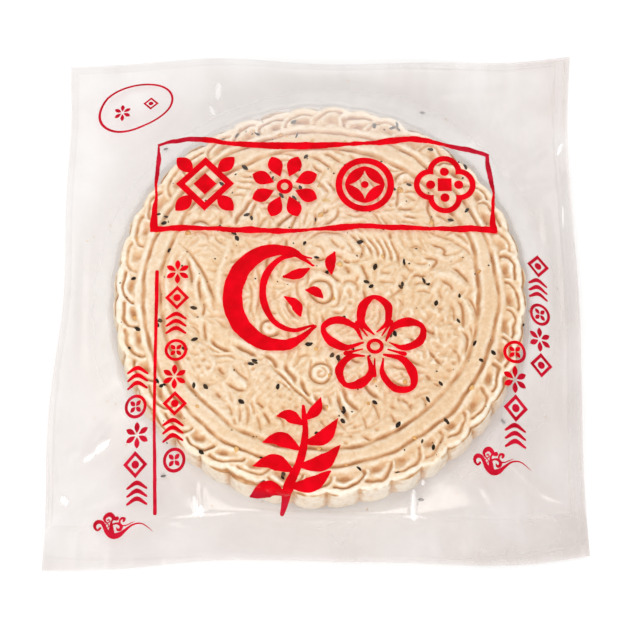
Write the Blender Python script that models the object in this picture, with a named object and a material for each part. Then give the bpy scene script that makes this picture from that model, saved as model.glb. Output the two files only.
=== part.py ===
"""A big round pressed mooncake in its sealed clear bag, lying flat.

The bag is one closed solid of the film's outer shape. The front film lies on the cake's raised rings,
turns down over its scalloped rim and runs to the seals. The back film lies flat under the cake and
rises to the same seals, because both films are cut to one size. The lip past the closing seal droops.

Origin: the middle of the bag's outline, on the surface that the cake's flat underside lies on. +Z is up
and +Y points to the top of the bag's front. The cake lies a little off the middle of its bag.
"""

import math

import bmesh
import bpy

MM = 0.001

# The cake, in millimetres
CAKE_RADIUS = 100.0  # at the top edge
CAKE_BASE_RADIUS = 101.5  # the wall spreads a little towards the base
CAKE_HEIGHT = 22.0
LOBES = 40  # scallops round the rim
WIDE_RING = (77.9, 86.2)  # grooves on both sides of the wide raised ring
THIN_RING_RADIUS = 90.0  # outer foot of the thin raised ring beside it

# The bag, in millimetres, from the cake's centre
CORNERS = {
    "bottom_left": (-131.9, -131.8),
    "bottom_right": (128.1, -124.6),
    "top_right": (130.1, 137.8),
    "top_left": (-129.7, 132.0),
}
# How each edge strays from its straight line: (half waves along the edge, millimetres outwards)
EDGE_WAVES = {
    "bottom": ((2, -2.2), (3, 1.5), (5, 0.7)),
    "right": ((1, -2.1), (2, 0.8), (3, -1.2)),
    "top": ((1, -2.3), (2, 2.5), (3, 0.6), (5, -0.8)),
    "left": ((1, -2.5), (2, 1.4), (3, 0.6), (5, -0.8)),
}
SEAL_WIDTH = {"bottom": 22.0, "right": 8.0, "top": 5.0, "left": 4.0}
SEAL_DROOP = {"bottom": 0.7, "right": 0.4, "top": 0.3, "left": 0.25}  # share of height lost at the edge
SEAL_THICKNESS = 0.9
SEAM_HEIGHT = 8.0  # of the seals beside the cake, where the two films meet nearly halfway up
SEAM_LOW = 1.2  # of the seals in the corners, which lie almost on the table
EDGE_LOW = 0.6  # of the outer edge, at the least
SEAM_REACH = (24.0, 62.0)  # free film between rim and seal where the seam is highest and lowest

# The film over the cake, in millimetres
FILM_GAP = 0.3  # over the cake's highest relief
RING_GROOVE = 0.5  # how far the film sinks into a ring's groove
GROOVE_HALF_WIDTH = 2.2
LOBE_GROOVE = 0.6  # how far it sinks on the top between two lobes
LOBE_NOTCH = 0.9  # how far it sinks inwards between them at the rim
RIM_ROUNDING = 0.8  # how much lower it is where it turns down
SAG = 1.5  # power of the film's hollow curve from the rim down to the seal

# The mesh
AROUND = 4 * LOBES  # points round the bag, four to a scallop
PLATEAU_RINGS = (38.0, 66.0, 74.5, 77.9, 81.0, 83.8, 86.2, 88.3, 91.0, 94.5, 97.5)
FRONT_MARGIN = (0.14, 0.3, 0.5, 0.72, 1.0)  # steps from the rim to the seal line
BACK_MARGIN = (1.0, 0.55, 0.25)  # and back again underneath
SHARP_ANGLE = 40.0  # degrees between faces that are shaded as a crease


def smooth_step(t):
    t = min(1.0, max(0.0, t))
    return t * t * (3 - 2 * t)


def edge_ends(side):
    """The two corners of an edge, in the order that its waves count from."""
    first, last = {
        "bottom": ("bottom_left", "bottom_right"),
        "right": ("bottom_right", "top_right"),
        "top": ("top_left", "top_right"),
        "left": ("bottom_left", "top_left"),
    }[side]
    return CORNERS[first], CORNERS[last]


def edge_point(side, share):
    """A point on an edge of the bag, share of the way along it, with the edge's slow waves."""
    (x0, y0), (x1, y1) = edge_ends(side)
    stray = sum(size * math.sin(count * math.pi * share) for count, size in EDGE_WAVES[side])
    x = x0 + (x1 - x0) * share
    y = y0 + (y1 - y0) * share
    out_x, out_y = {"bottom": (0, -1), "right": (1, 0), "top": (0, 1), "left": (-1, 0)}[side]
    return x + out_x * stray, y + out_y * stray


def perimeter():
    """AROUND points round the bag's outline, anticlockwise from the right-hand edge's middle.

    Each edge gets a quarter of them, so that the four corners are points of the outline.
    """
    quarter = AROUND // 4
    points = []
    for side, forwards in (("right", True), ("top", False), ("left", False), ("bottom", True)):
        for i in range(quarter):
            share = i / quarter
            points.append(edge_point(side, share if forwards else 1 - share))
    half = quarter // 2
    return points[half:] + points[:half]


def share_towards(side, x, y):
    """How far out a point lies from the cake's centre towards one side's seal line, where it is 1."""
    along, across = {"left": (y, -x), "right": (y, x), "bottom": (x, -y), "top": (x, y)}[side]
    axis = 1 if side in ("left", "right") else 0
    start, end = edge_ends(side)
    share = min(1.0, max(0.0, (along - start[axis]) / (end[axis] - start[axis])))
    edge = edge_point(side, share)
    return across / (abs(edge[1 - axis]) - SEAL_WIDTH[side])


def nearest_side(x, y):
    return max(SEAL_WIDTH, key=lambda side: share_towards(side, x, y))


def seal_share(x, y):
    """How far out a point lies from the cake's centre towards the seal line all round, where it is 1."""
    return share_towards(nearest_side(x, y), x, y)


def seam_height(free_film):
    """Height of the seal beside which this much free film lies between the rim and the seal."""
    nearest, farthest = SEAM_REACH
    low = smooth_step((free_film - nearest) / (farthest - nearest))
    return SEAM_HEIGHT + (SEAM_LOW - SEAM_HEIGHT) * low


def lobe_swell(angle):
    """1 along the middle of a lobe and 0 in the valley between two."""
    return abs(math.sin(angle * LOBES / 2))


def plateau_height(radius, angle=0.0):
    """Height of the front film over the cake's top, sunk a little into the grooves of its relief."""
    sink = sum(
        RING_GROOVE * math.exp(-(((radius - groove) / GROOVE_HALF_WIDTH) ** 2))
        for groove in (*WIDE_RING, THIN_RING_RADIUS)
    )
    if radius > THIN_RING_RADIUS:
        sink += LOBE_GROOVE * (1 - lobe_swell(angle))
    return CAKE_HEIGHT + FILM_GAP - sink


def between(start, end, step):
    """The plan point that lies step of the way from start to end."""
    return start[0] + (end[0] - start[0]) * step, start[1] + (end[1] - start[1]) * step


def bearing(index):
    return 2 * math.pi * index / AROUND


def on_circle(radius, angle):
    return radius * math.cos(angle), radius * math.sin(angle)


def seal_point(outer):
    """The point of the seal line on the way out to a point of the bag's edge."""
    share = 1 / seal_share(*outer)
    return outer[0] * share, outer[1] * share


def seam_beside(index, outer):
    """Height of the seal line on the way out to a point of the bag's edge."""
    return seam_height(math.dist(on_circle(CAKE_RADIUS, bearing(index)), seal_point(outer)))


def front_ring(step, outline):
    """One ring of points on the front film, step of the way from the rim to the seal line."""
    ring = []
    for i, outer in enumerate(outline):
        angle = bearing(i)
        rim = on_circle(CAKE_RADIUS - LOBE_NOTCH * (1 - lobe_swell(angle)), angle)
        high = plateau_height(CAKE_RADIUS, angle) - RIM_ROUNDING
        low = seam_beside(i, outer) + SEAL_THICKNESS / 2
        ring.append((*between(rim, seal_point(outer), step), low + (high - low) * (1 - step) ** SAG))
    return ring


def edge_ring(offset, outline):
    """The seals' outer edge, offset from the middle of their thickness."""
    ring = []
    for i, outer in enumerate(outline):
        droop = SEAL_DROOP[nearest_side(*outer)]
        height = max(EDGE_LOW, seam_beside(i, outer) * (1 - droop))
        ring.append((*outer, height + offset))
    return ring


def back_ring(step, outline):
    """One ring of points on the back film, which rises from the cake's foot to the seal line."""
    ring = []
    for i, outer in enumerate(outline):
        foot = on_circle(CAKE_BASE_RADIUS, bearing(i))
        high = seam_beside(i, outer) - SEAL_THICKNESS / 2
        ring.append((*between(foot, seal_point(outer), step), high * step**SAG))
    return ring


def flat_ring(radius, height_at):
    """A circle of points round the cake's axis, at the height that height_at gives for each angle."""
    return [(*on_circle(radius, bearing(i)), height_at(bearing(i))) for i in range(AROUND)]


def bag_rings():
    """The whole bag as rings of points, from the middle of the front round to the flat base."""
    outline = perimeter()
    rings = [
        flat_ring(radius, lambda angle, radius=radius: plateau_height(radius, angle))
        for radius in PLATEAU_RINGS
    ]
    rings += [front_ring(step, outline) for step in (0.0, *FRONT_MARGIN)]
    rings += [edge_ring(offset, outline) for offset in (SEAL_THICKNESS / 2, -SEAL_THICKNESS / 2)]
    rings += [back_ring(step, outline) for step in BACK_MARGIN]
    rings.append(flat_ring(CAKE_BASE_RADIUS, lambda angle: 0.0))
    return rings


def outline_middle():
    """The middle of the bag's outline, from the cake's centre."""
    across, along = zip(*perimeter())
    return (min(across) + max(across)) / 2, (min(along) + max(along)) / 2


def bag_mesh():
    """The closed solid in metres, moved so that the middle of its outline is the origin."""
    shift_x, shift_y = outline_middle()
    bm = bmesh.new()
    loops = [
        [bm.verts.new(((x - shift_x) * MM, (y - shift_y) * MM, z * MM)) for x, y, z in ring]
        for ring in bag_rings()
    ]
    middle = bm.verts.new((-shift_x * MM, -shift_y * MM, plateau_height(0.0) * MM))
    for i in range(AROUND):
        j = (i + 1) % AROUND
        bm.faces.new((middle, loops[0][i], loops[0][j]))
        for inner, outer in zip(loops, loops[1:]):
            bm.faces.new((inner[i], outer[i], outer[j], inner[j]))
    bm.faces.new(reversed(loops[-1]))
    bmesh.ops.recalc_face_normals(bm, faces=bm.faces)
    mesh = bpy.data.meshes.new("sealed_bag")
    bm.to_mesh(mesh)
    bm.free()
    return mesh


def film_material():
    material = bpy.data.materials.new("clear_film")
    material.use_nodes = True
    shader = material.node_tree.nodes["Principled BSDF"]
    shader.inputs["Base Color"].default_value = (0.86, 0.80, 0.72, 1)
    shader.inputs["Roughness"].default_value = 0.22
    shader.inputs["Metallic"].default_value = 0.0
    return material


def main():
    for old in list(bpy.data.objects):
        bpy.data.objects.remove(old)
    mesh = bag_mesh()
    mesh.materials.append(film_material())
    mesh.shade_smooth()
    mesh.set_sharp_from_angle(angle=math.radians(SHARP_ANGLE))
    bag = bpy.data.objects.new("sealed_bag", mesh)
    bpy.context.scene.collection.objects.link(bag)


main()
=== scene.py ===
"""The look of a big round pressed mooncake in its sealed, printed clear bag.

The bag's solid is replaced by what is really there: the front and back film, the cake between them, the
seeds in and beside it, and the red print on the front film. Plan positions and heights are millimetres
from the centre of the cake's underside; put() turns them into the frame's metres.
"""

import math

import bpy
import numpy as np
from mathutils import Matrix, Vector
from mathutils.geometry import delaunay_2d_cdt


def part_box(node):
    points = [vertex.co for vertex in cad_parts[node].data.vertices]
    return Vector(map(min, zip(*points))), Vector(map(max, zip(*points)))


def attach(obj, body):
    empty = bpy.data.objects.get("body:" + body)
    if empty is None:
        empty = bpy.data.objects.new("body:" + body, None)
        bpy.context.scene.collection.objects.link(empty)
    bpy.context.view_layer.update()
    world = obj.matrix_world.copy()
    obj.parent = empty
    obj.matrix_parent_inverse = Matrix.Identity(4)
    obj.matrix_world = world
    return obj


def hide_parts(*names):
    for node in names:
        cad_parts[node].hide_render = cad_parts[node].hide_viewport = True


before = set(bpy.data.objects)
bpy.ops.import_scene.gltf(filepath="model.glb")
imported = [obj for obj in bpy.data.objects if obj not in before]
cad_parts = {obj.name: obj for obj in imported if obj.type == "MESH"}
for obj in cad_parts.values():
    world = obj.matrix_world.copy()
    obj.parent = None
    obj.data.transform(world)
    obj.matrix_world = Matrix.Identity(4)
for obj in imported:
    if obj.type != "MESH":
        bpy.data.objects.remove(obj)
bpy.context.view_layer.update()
BAG_LOW, BAG_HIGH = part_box("sealed_bag")
MM = 0.001

# ---------------------------------------------------------------- sizes, in millimetres
# The cake
CAKE_RADIUS = 100.0  # of its top edge
WALL_SPREAD = 1.8  # how much wider it is at its foot
CAKE_TOP = 21.9  # the highest relief
RELIEF_PLANE = CAKE_TOP - 0.15  # the height that the relief is measured from
CAKE_FOOT = 0.25
WALL_TOP = CAKE_TOP - 2.6  # where the rounded edge ends and the wall begins
WALL_STEPS = 24
# Rings of the underside: (radius, points)
BASE_RINGS = ((99.0, 600), (92.0, 300), (78.0, 200), (60.0, 160), (42.0, 110), (24.0, 60), (8.0, 20))
PICTURE_EDGE = 77.4  # where the mesh of the picture meets the mesh of the rim, in a groove
PICTURE_SPACING = 0.46  # of the points of the picture's mesh
LOBES = 40
LOBE_DEPTH = 1.65  # of the notches between the rim's scallops
LOBE_PITCH = 2 * math.pi / LOBES  # in radians
LOBE_LENGTH = LOBE_PITCH * 93.0  # the same in millimetres, along the scallops' middle line
LOBE_HALF = 13.3  # half the length of one whole scallop, which lies partly under its neighbour
LOBE_REACH = 10.05  # how far a scallop reaches out from the thin ring
LOBE_INSIDE = (9.7, 6.2)  # half the length and the reach of the part inside its groove
NOTCH_SHARE = math.sqrt(1 - (LOBE_LENGTH / 2 / LOBE_HALF) ** 2)
RING_FOOT = 90.0  # where the thin ring ends and the scallops begin
GROOVES = ((77.7, 1.65, 1.0), (86.2, 1.55, 0.85), (90.6, 0.5, 0.7))  # radius, depth, half width
RINGS = ((82.1, 0.35, 3.6), (88.2, 0.2, 1.5))  # radius, height, half width

# The bag, repeated from the solid it replaces
BOTTOM_LEFT, BOTTOM_RIGHT = (-131.9, -131.8), (128.1, -124.6)
TOP_LEFT, TOP_RIGHT = (-129.7, 132.0), (130.1, 137.8)
EDGE_ENDS = {
    "bottom": (BOTTOM_LEFT, BOTTOM_RIGHT),
    "right": (BOTTOM_RIGHT, TOP_RIGHT),
    "top": (TOP_LEFT, TOP_RIGHT),
    "left": (BOTTOM_LEFT, TOP_LEFT),
}
OUTWARD = {"bottom": (0, -1), "right": (1, 0), "top": (0, 1), "left": (-1, 0)}
# How each edge strays from straight: (half waves along it, millimetres outward)
EDGE_WAVES = {
    "bottom": ((2, -2.2), (3, 1.5), (5, 0.7)),
    "right": ((1, -2.1), (2, 0.8), (3, -1.2)),
    "top": ((1, -2.3), (2, 2.5), (3, 0.6), (5, -0.8)),
    "left": ((1, -2.5), (2, 1.4), (3, 0.6), (5, -0.8)),
}
SEAL_WIDTH = {"bottom": 22.0, "right": 8.0, "top": 5.0, "left": 4.0}
SEAL_DROOP = {"bottom": 0.7, "right": 0.4, "top": 0.3, "left": 0.25}
# The seam stands high where the cake is near it and low where it is far
SEAM_HEIGHT, SEAM_LOW = 8.0, 1.2
SEAM_REACH = (24.0, 62.0)
EDGE_LOW = 0.6
FILM_TOP = (BAG_HIGH[2] - BAG_LOW[2]) / MM
FILM_RIM = FILM_TOP - 0.8  # height of the film where it turns down over the rim
SAG = 1.5

# Folds that stand up in the film: (from x, from y, to x, to y, height, half width)
FOLDS = (
    (-126, -80, -113, -72, 1.6, 2.2),
    (-114, -73, -99, -61, 1.3, 1.6),
    (-58.6, -91, -58.2, -106, 1.0, 1.1),
    (-55.5, -94, -54.6, -105, 0.8, 1.0),
    (44, -94, 43.8, -110, 1.0, 1.3),
    (-12, -109, -12.3, -120, 0.7, 1.6),
    (8, -109, 8.2, -121, 0.7, 1.6),
    (54, -109, 54.4, -123, 0.8, 1.8),
    (68, -108, 68.6, -123, 0.9, 1.9),
    (77, -106, 77.6, -123, 0.7, 1.9),
    (95, -104, 96, -123, 0.8, 2.1),
    (103, -106, 103.8, -122, 0.6, 1.8),
    (-58, 129, -53, 106, 0.9, 1.2),
    (-62, 124, -59, 108, 0.6, 1.0),
    (11, 124, 11.5, 112, 0.7, 0.9),
    (92, 66, 126, 94, 1.3, 3.5),
    (100, 58, 124, 66, 1.0, 3.0),
    (112, 52, 114, -6, 0.9, 2.6),
    (111, -30, 116, -98, 1.0, 2.6),
    (121, 60, 120, -20, 0.6, 1.8),
    (77, -92, 86, -108, 0.6, 1.6),
    (84, -90, 92, -106, 0.5, 1.4),
    (106, -95, 121, -100, 0.7, 1.4),
    (108, -104, 121, -105, 0.5, 1.0),
    (-118, 40, -116, -40, 0.7, 2.6),
    (-116, -104, -84, -98, 0.7, 1.5),
    (-84, -106, -60, -112, 0.6, 1.2),
    (-124, 110, -104, 88, 0.9, 3.0),
    (60, 112, 100, 118, 0.8, 3.0),
)
# Short painted glints on the film's creases: (from x, from y, to x, to y, half width)
PAINTED_GLINTS = (
    (-59.6, -98, -59.3, -107, 1.1),
    (-56.6, -102, -56.2, -107, 0.9),
    (44.2, -96, 44.4, -109, 1.2),
    (48.5, -92, 48.7, -94, 0.8),
    (-108, -76, -101, -71, 1.5),
    (-113, -79, -108.5, -77, 1.0),
    (122, 52, 121.6, 40, 0.5),
    (123.5, 88, 121, 81, 0.8),
    (-51.9, 120, -52.3, 109, 1.3),
    (-55.6, 104, -53.6, 97, 1.1),
    (-124, -96, -121, -100, 1.1),
)
INK_LIFT = 0.18  # of the print over the film
INK_SPACING = 1.7  # of the points inside a printed shape
# Share of light that the film holds back: where it lies on the cake, in the margins, and at the back
CLINGING_HAZE, MILKY_HAZE, BACK_HAZE = 0.009, 0.18, 0.15
SEAL_LINES = (0.8, 3.4)  # how far past the seam the two lines pressed into the seal lie

RANDOM = np.random.default_rng(8)


# ---------------------------------------------------------------- small tools
def put(x, y, z):
    """Millimetres from the cake's centre as an array of points in the frame's metres."""
    x, y, z = np.broadcast_arrays(x, y, z)
    return np.stack([(x - MIDDLE[0]) * MM, (y - MIDDLE[1]) * MM, BAG_LOW[2] + z * MM], -1)


def smooth_step(t):
    """0 up to 0 and 1 from 1 on, with an S-shaped rise between."""
    t = np.clip(t, 0.0, 1.0)
    return t * t * (3 - 2 * t)


def bump(distance, half_width):
    """1 at no distance, falling away like a bell."""
    return np.exp(-((distance / half_width) ** 2))


def curve(points, spacing=0.4):
    """Points close together along a smooth curve (Catmull-Rom) through the given ones."""
    p = np.array(points, float)
    if len(p) == 2:
        count = max(2, int(math.dist(p[0], p[1]) / spacing))
        return p[0] + (p[1] - p[0]) * np.linspace(0, 1, count)[:, None]
    p = np.vstack([2 * p[0] - p[1], p, 2 * p[-1] - p[-2]])
    out = []
    for a, b, c, d in zip(p, p[1:], p[2:], p[3:]):
        count = max(2, int(math.dist(b, c) / spacing))
        t = np.linspace(0, 1, count, endpoint=False)[:, None]
        cubic = (3 * b - a - 3 * c + d) * t**3
        out.append(0.5 * (2 * b + (c - a) * t + (2 * a - 5 * b + 4 * c - d) * t**2 + cubic))
    out.append(p[-2:-1])
    return np.vstack(out)


def waves(x, y, seed, shortest, longest, count=7):
    """A smooth field of random waves between -1 and 1 or so, with lengths in millimetres."""
    rng = np.random.default_rng(seed)
    total = 0.0
    for _ in range(count):
        heading = rng.uniform(0, math.pi)
        length = rng.uniform(shortest, longest)
        phase = rng.uniform(0, 2 * math.pi)
        total = total + np.sin((x * math.cos(heading) + y * math.sin(heading)) * 2 * math.pi / length + phase)
    return total / math.sqrt(count)


def add_object(name, points, faces, material, attributes):
    """A smooth mesh object that rides on the bag's body. attributes holds a number for each point."""
    mesh = bpy.data.meshes.new(name)
    mesh.from_pydata(points.tolist(), [], faces)
    mesh.materials.append(material)
    for key, values in attributes.items():
        layer = mesh.attributes.new(key, "FLOAT", "POINT")
        layer.data.foreach_set("value", np.asarray(values, np.float32))
    mesh.shade_smooth()
    mesh.update()
    obj = bpy.data.objects.new(name, mesh)
    bpy.context.scene.collection.objects.link(obj)
    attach(obj, "root")
    return obj


def bridge(inner, outer, inner_start, outer_start):
    """Faces between two closed rings of points: quads where their counts are equal, or else triangles."""
    if inner == outer:
        i = np.arange(inner)
        j = (i + 1) % inner
        return np.stack([inner_start + i, outer_start + i, outer_start + j, inner_start + j], 1).tolist()
    faces, i, j = [], 0, 0
    while i < inner or j < outer:
        a, b = inner_start + i % inner, outer_start + j % outer
        if j < outer and (i == inner or (j + 1) * inner <= (i + 1) * outer):
            faces.append((a, b, outer_start + (j + 1) % outer))
            j += 1
        else:
            faces.append((a, b, inner_start + (i + 1) % inner))
            i += 1
    return faces


def ring_faces(counts):
    """Faces that join rings of points one after another."""
    starts = np.concatenate([[0], np.cumsum(counts)[:-1]])
    faces = []
    for k in range(len(counts) - 1):
        faces += bridge(counts[k], counts[k + 1], int(starts[k]), int(starts[k + 1]))
    return faces


def cap_faces(start, count, centre, flip=False):
    """Triangles from a ring of points to the point in its middle."""
    i = np.arange(count)
    j = (i + 1) % count
    order = (start + j, start + i) if flip else (start + i, start + j)
    return np.stack([np.full(count, centre), *order], 1).tolist()


# ---------------------------------------------------------------- the bag's shape
def edge_point(side, share):
    """The point of the bag's edge this share of the way along one side."""
    (x0, y0), (x1, y1) = EDGE_ENDS[side]
    stray = sum(size * np.sin(count * math.pi * share) for count, size in EDGE_WAVES[side])
    out_x, out_y = OUTWARD[side]
    return x0 + (x1 - x0) * share + out_x * stray, y0 + (y1 - y0) * share + out_y * stray


def outline(count):
    """Points round the bag's edge, anticlockwise from the middle of its right side."""
    quarter = count // 4
    share = np.arange(quarter) / quarter
    sides = (("right", True), ("top", False), ("left", False), ("bottom", True))
    points = np.hstack([edge_point(side, share if onward else 1 - share) for side, onward in sides])
    return np.roll(points, -(quarter // 2), axis=1)


def share_towards(side, x, y):
    """How far out points lie towards one side's seam, where it is 1."""
    out_x, out_y = OUTWARD[side]
    axis, along = (1, y) if out_x else (0, x)
    start, end = EDGE_ENDS[side]
    share = np.clip((along - start[axis]) / (end[axis] - start[axis]), 0.0, 1.0)
    return (x * out_x + y * out_y) / (np.abs(edge_point(side, share)[1 - axis]) - SEAL_WIDTH[side])


def seal_share(x, y):
    """How far out points lie towards the seam, where it is 1, and the index of the side they face."""
    shares = np.stack([share_towards(side, x, y) for side in SEAL_WIDTH])
    return shares.max(0), shares.argmax(0)


def seam_place(x, y):
    """How far past the seam points lie, how far out the seam is there, and the index of the side."""
    q, side = seal_share(x, y)
    reach = np.hypot(x, y) / np.maximum(q, 1e-6)
    return (q - 1) * reach, reach, side


def by_side(values, side):
    """The value that belongs to the side each point faces."""
    return np.array(list(values.values()))[side]


def seam_height(free_film):
    """Height of the seam, by how much film lies between it and the cake."""
    nearest, farthest = SEAM_REACH
    return SEAM_HEIGHT + (SEAM_LOW - SEAM_HEIGHT) * smooth_step((free_film - nearest) / (farthest - nearest))


def rim_radius(angle):
    """Radius of the cake's top edge, which is notched between the scallops."""
    return CAKE_RADIUS - LOBE_DEPTH * (1 - lobe_swell(angle))


def film_rim(angle):
    """Where the film turns down: it bridges half of each notch."""
    return CAKE_RADIUS + 0.5 - 0.5 * LOBE_DEPTH * (1 - lobe_swell(angle))


def fold_height(x, y):
    """How far the folds raise the film."""
    total = np.zeros(np.shape(x))
    for x0, y0, x1, y1, height, half_width in FOLDS:
        length = math.dist((x0, y0), (x1, y1))
        ux, uy = (x1 - x0) / length, (y1 - y0) / length
        along = ((x - x0) * ux + (y - y0) * uy) / length
        across = (x - x0) * uy - (y - y0) * ux
        taper = np.sin(math.pi * np.clip(along, 0, 1)) ** 0.7
        total += height * taper * bump(across, half_width)
    return total


def taut_film(x, y, r, angle, rim):
    """Height of the front film over the cake: it dips a little over the rings, the notches and the rim."""
    sink = sum(0.3 * bump(r - radius, 2.4) for radius, _, _ in GROOVES)
    sink = sink + np.where(r > RING_FOOT, 0.5 * (1 - lobe_swell(angle)), 0.0)
    uneven = np.clip(0.06 * (1 + waves(x, y, 3, 18, 60)), 0, 0.3)
    return FILM_TOP - 0.05 - sink - uneven - 0.35 * smooth_step((r - rim + 2.5) / 2.5)


def front_film(x, y):
    """Height of the front film: taut over the cake, sagging to the seam, and drooping to the edge."""
    x, y = np.asarray(x, float), np.asarray(y, float)
    r, angle = np.hypot(x, y), np.arctan2(y, x)
    past, reach, side = seam_place(x, y)
    rim = film_rim(angle)
    free = np.maximum(reach - rim, 1.0)
    seam = seam_height(free)
    step = np.clip((r - rim) / free, 0.0, 1.0)
    z = np.where(r < rim, taut_film(x, y, r, angle, rim), seam + (FILM_RIM - seam) * (1 - step) ** SAG)
    lip = np.clip(past / by_side(SEAL_WIDTH, side), 0.0, 1.0)
    z = np.where(past > 0, np.maximum(EDGE_LOW, seam * (1 - by_side(SEAL_DROOP, side) * lip)), z)

    # Its creases: waves, folds and pleats where it hangs free, then the lines and ticks of the seal
    in_seal = smooth_step(past / 0.8)
    loose = smooth_step((r - rim - 1.5) / 8.0) * (1 - 0.75 * in_seal)
    pleats = np.sin(angle * 37 + 1.3 * np.sin(angle * 5)) * np.sin(angle * 11 + 2) * np.sin(math.pi * step)
    z = z + loose * (0.22 * waves(x, y, 5, 22, 70) + fold_height(x, y) + 0.11 * pleats)
    z = z + 0.18 * (bump(past - SEAL_LINES[0], 0.35) + 0.5 * bump(past - SEAL_LINES[1], 0.3))
    ticks = np.maximum(0, np.sin(x * 0.31 + 1.1 * np.sin(x * 0.11))) ** 14
    z = z + 0.4 * ticks * (side == 0) * smooth_step((lip - 0.35) / 0.3) * in_seal
    return np.clip(z, 0.35, FILM_TOP - 0.02)


def back_film(x, y):
    """Height of the back film, which lies flat under the cake and rises to the same seals."""
    r, angle = np.hypot(x, y), np.arctan2(y, x)
    _, reach, _ = seam_place(x, y)
    foot = CAKE_RADIUS + WALL_SPREAD
    step = np.clip((r - foot) / np.maximum(reach - foot, 1.0), 0.0, 1.0)
    seam = seam_height(np.maximum(reach - film_rim(angle), 1.0))
    z = 0.08 + (seam - 0.08) * step**SAG + 0.15 * waves(x, y, 9, 20, 60) * smooth_step(step * 3)
    return np.clip(z, 0.06, np.maximum(front_film(x, y) - 0.16, 0.06))


EDGE = outline(720)
MIDDLE = (EDGE.min(1) + EDGE.max(1)) / 2


def facing(x, y, towards_x, towards_y):
    """1 on the side of the cake that an arrow points to, down to 0 across it. A longer one widens it."""
    return smooth_step((towards_x * x + towards_y * y) / np.maximum(np.hypot(x, y), 1.0))


def clear_reach(x, y):
    """How far out the front film stays clear: to the rim, and further where the wall shows under it."""
    nearness = np.clip(-y / np.maximum(np.hypot(x, y), 1.0), 0, 1)
    return film_rim(np.arctan2(y, x)) + 7.0 * nearness


def film_haze(x, y):
    """How much of the front film's light is held back: little where it clings to the cake."""
    r, angle = np.hypot(x, y), np.arctan2(y, x)
    past, _, side = seam_place(x, y)
    # The haze thickens towards the right and the near side: painted shade where less light falls on the
    # margins
    milky = MILKY_HAZE + 0.09 * x / 130 - 0.07 * y / 130 + 0.02 * waves(x, y, 13, 14, 50)
    milky = milky + 0.03 * waves(x, y * 0.12, 14, 5, 16) * smooth_step((x + 40) / 90)  # streaks on the right
    pressed = 0.07 * bump(past - SEAL_LINES[0], 0.6) + 0.03 * bump(past - SEAL_LINES[1], 0.5)
    cut_edge = 0.12 * bump(by_side(SEAL_WIDTH, side) - past, 0.7)
    clearness = 0.5 + 0.5 * smooth_step((x + 20) / 110)  # the seal's lines are fainter on the left
    milky = milky + 0.04 * smooth_step(past / 0.8) + clearness * (pressed + cut_edge)
    # Thicker haze beside the cake on its shaded side, where the haze paints light over the cake's cast shadow
    milky = milky + 0.1 * bump(r - film_rim(angle), 17) * facing(x, y, 1.125, 0.5625)
    clinging = 1 - smooth_step((r - clear_reach(x, y)) / 5.0)
    on_cake = CLINGING_HAZE + 0.13 * smooth_step((y - 78) / 24)  # painted glare over the cake's far part
    return np.clip(milky * (1 - clinging) + on_cake * clinging, 0.005, 0.6)


def near_line(x, y, x0, y0, x1, y1):
    """Distance from a line, stretched to its ends so that it tapers to points there."""
    length = math.hypot(x1 - x0, y1 - y0)
    along = ((x - x0) * (x1 - x0) + (y - y0) * (y1 - y0)) / length**2
    t = np.clip(along, 0, 1)
    apart = np.hypot(x - x0 - t * (x1 - x0), y - y0 - t * (y1 - y0))
    return apart / np.maximum(np.sqrt(1 - (2 * t - 1) ** 2), 0.15)


def film_painted_light(x, y):
    """Painted light on the front film: 1 in the middle of a painted glint on a crease, less as painted glare
    over the cake's far part and painted light beside the cake, and 0 elsewhere.
    """
    r, clear = np.hypot(x, y), clear_reach(x, y)
    past_rim, past_clear = r - film_rim(np.arctan2(y, x)), r - clear
    # Painted glare over the cake's far part and painted light over its near wall
    painted_far_glare = 0.06 * smooth_step((y - 10) / 40) + 0.25 * smooth_step((y - 68) / 22)
    painted_wall_light = 0.2 * smooth_step(past_rim / 1.5) * facing(x, y, 0, -1.2)
    shaded = facing(x, y, 0.9375, 0.8125)
    open_side = smooth_step((0.65 * y - 0.75 * x) / np.maximum(r, 1.0) / 0.8 + 0.3)
    # Painted light that lifts the cast shadow beside the cake, strongest on its shaded side
    painted_shadow_lift = (0.12 + 0.32 * np.maximum(shaded, 0.75 * open_side)) * smooth_step(past_clear / 3)
    painted_shadow_lift = painted_shadow_lift * bump(np.maximum(past_clear - 3, 0), 12 + 3 * open_side)
    white = (painted_far_glare + painted_wall_light) * (1 - smooth_step(past_clear / 5)) + painted_shadow_lift
    # Painted glints on the film's creases
    for *line, half_width in PAINTED_GLINTS:
        white = np.maximum(white, bump(near_line(x, y, *line), half_width))
    return white


def film_mesh(name, height_of, haze_of, whiteness_of, material, rays):
    """One of the two films as rings of points along rays from the cake's centre to the bag's edge."""
    edge = outline(rays)
    q, _ = seal_share(*edge)
    angle = np.arctan2(edge[1], edge[0])
    radius = np.hypot(*edge)
    seam = radius / q
    rim = film_rim(angle)
    rings = [rim * s for s in (*np.linspace(0.08, 0.72, 10), *np.linspace(0.745, 0.985, 20))]
    rings += [rim + past for past in (-0.7, -0.3, 0.0, 0.3, 0.8)]
    start = rings[-1]
    rings += [start + (seam - start) * t for t in np.linspace(0, 1, 40)[1:]]
    rings += [seam + (radius - seam) * t for t in np.linspace(0, 1, 27)[1:]]
    xs = np.append(np.concatenate([r * np.cos(angle) for r in rings]), 0.0)
    ys = np.append(np.concatenate([r * np.sin(angle) for r in rings]), 0.0)
    faces = ring_faces([rays] * len(rings)) + cap_faces(0, rays, len(xs) - 1)
    attributes = {"haze": haze_of(xs, ys), "whiteness": whiteness_of(xs, ys)}
    return add_object(name, put(xs, ys, height_of(xs, ys)), faces, material, attributes)


# ---------------------------------------------------------------- the cake's moulded relief
# How deep and how wide the mould cut a line: (depth, half width)
DEEP = (1.8, 0.82)
FIRM = (1.4, 0.58)
LIGHT = (1.0, 0.5)
SOFT = (0.6, 1.0)


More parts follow.
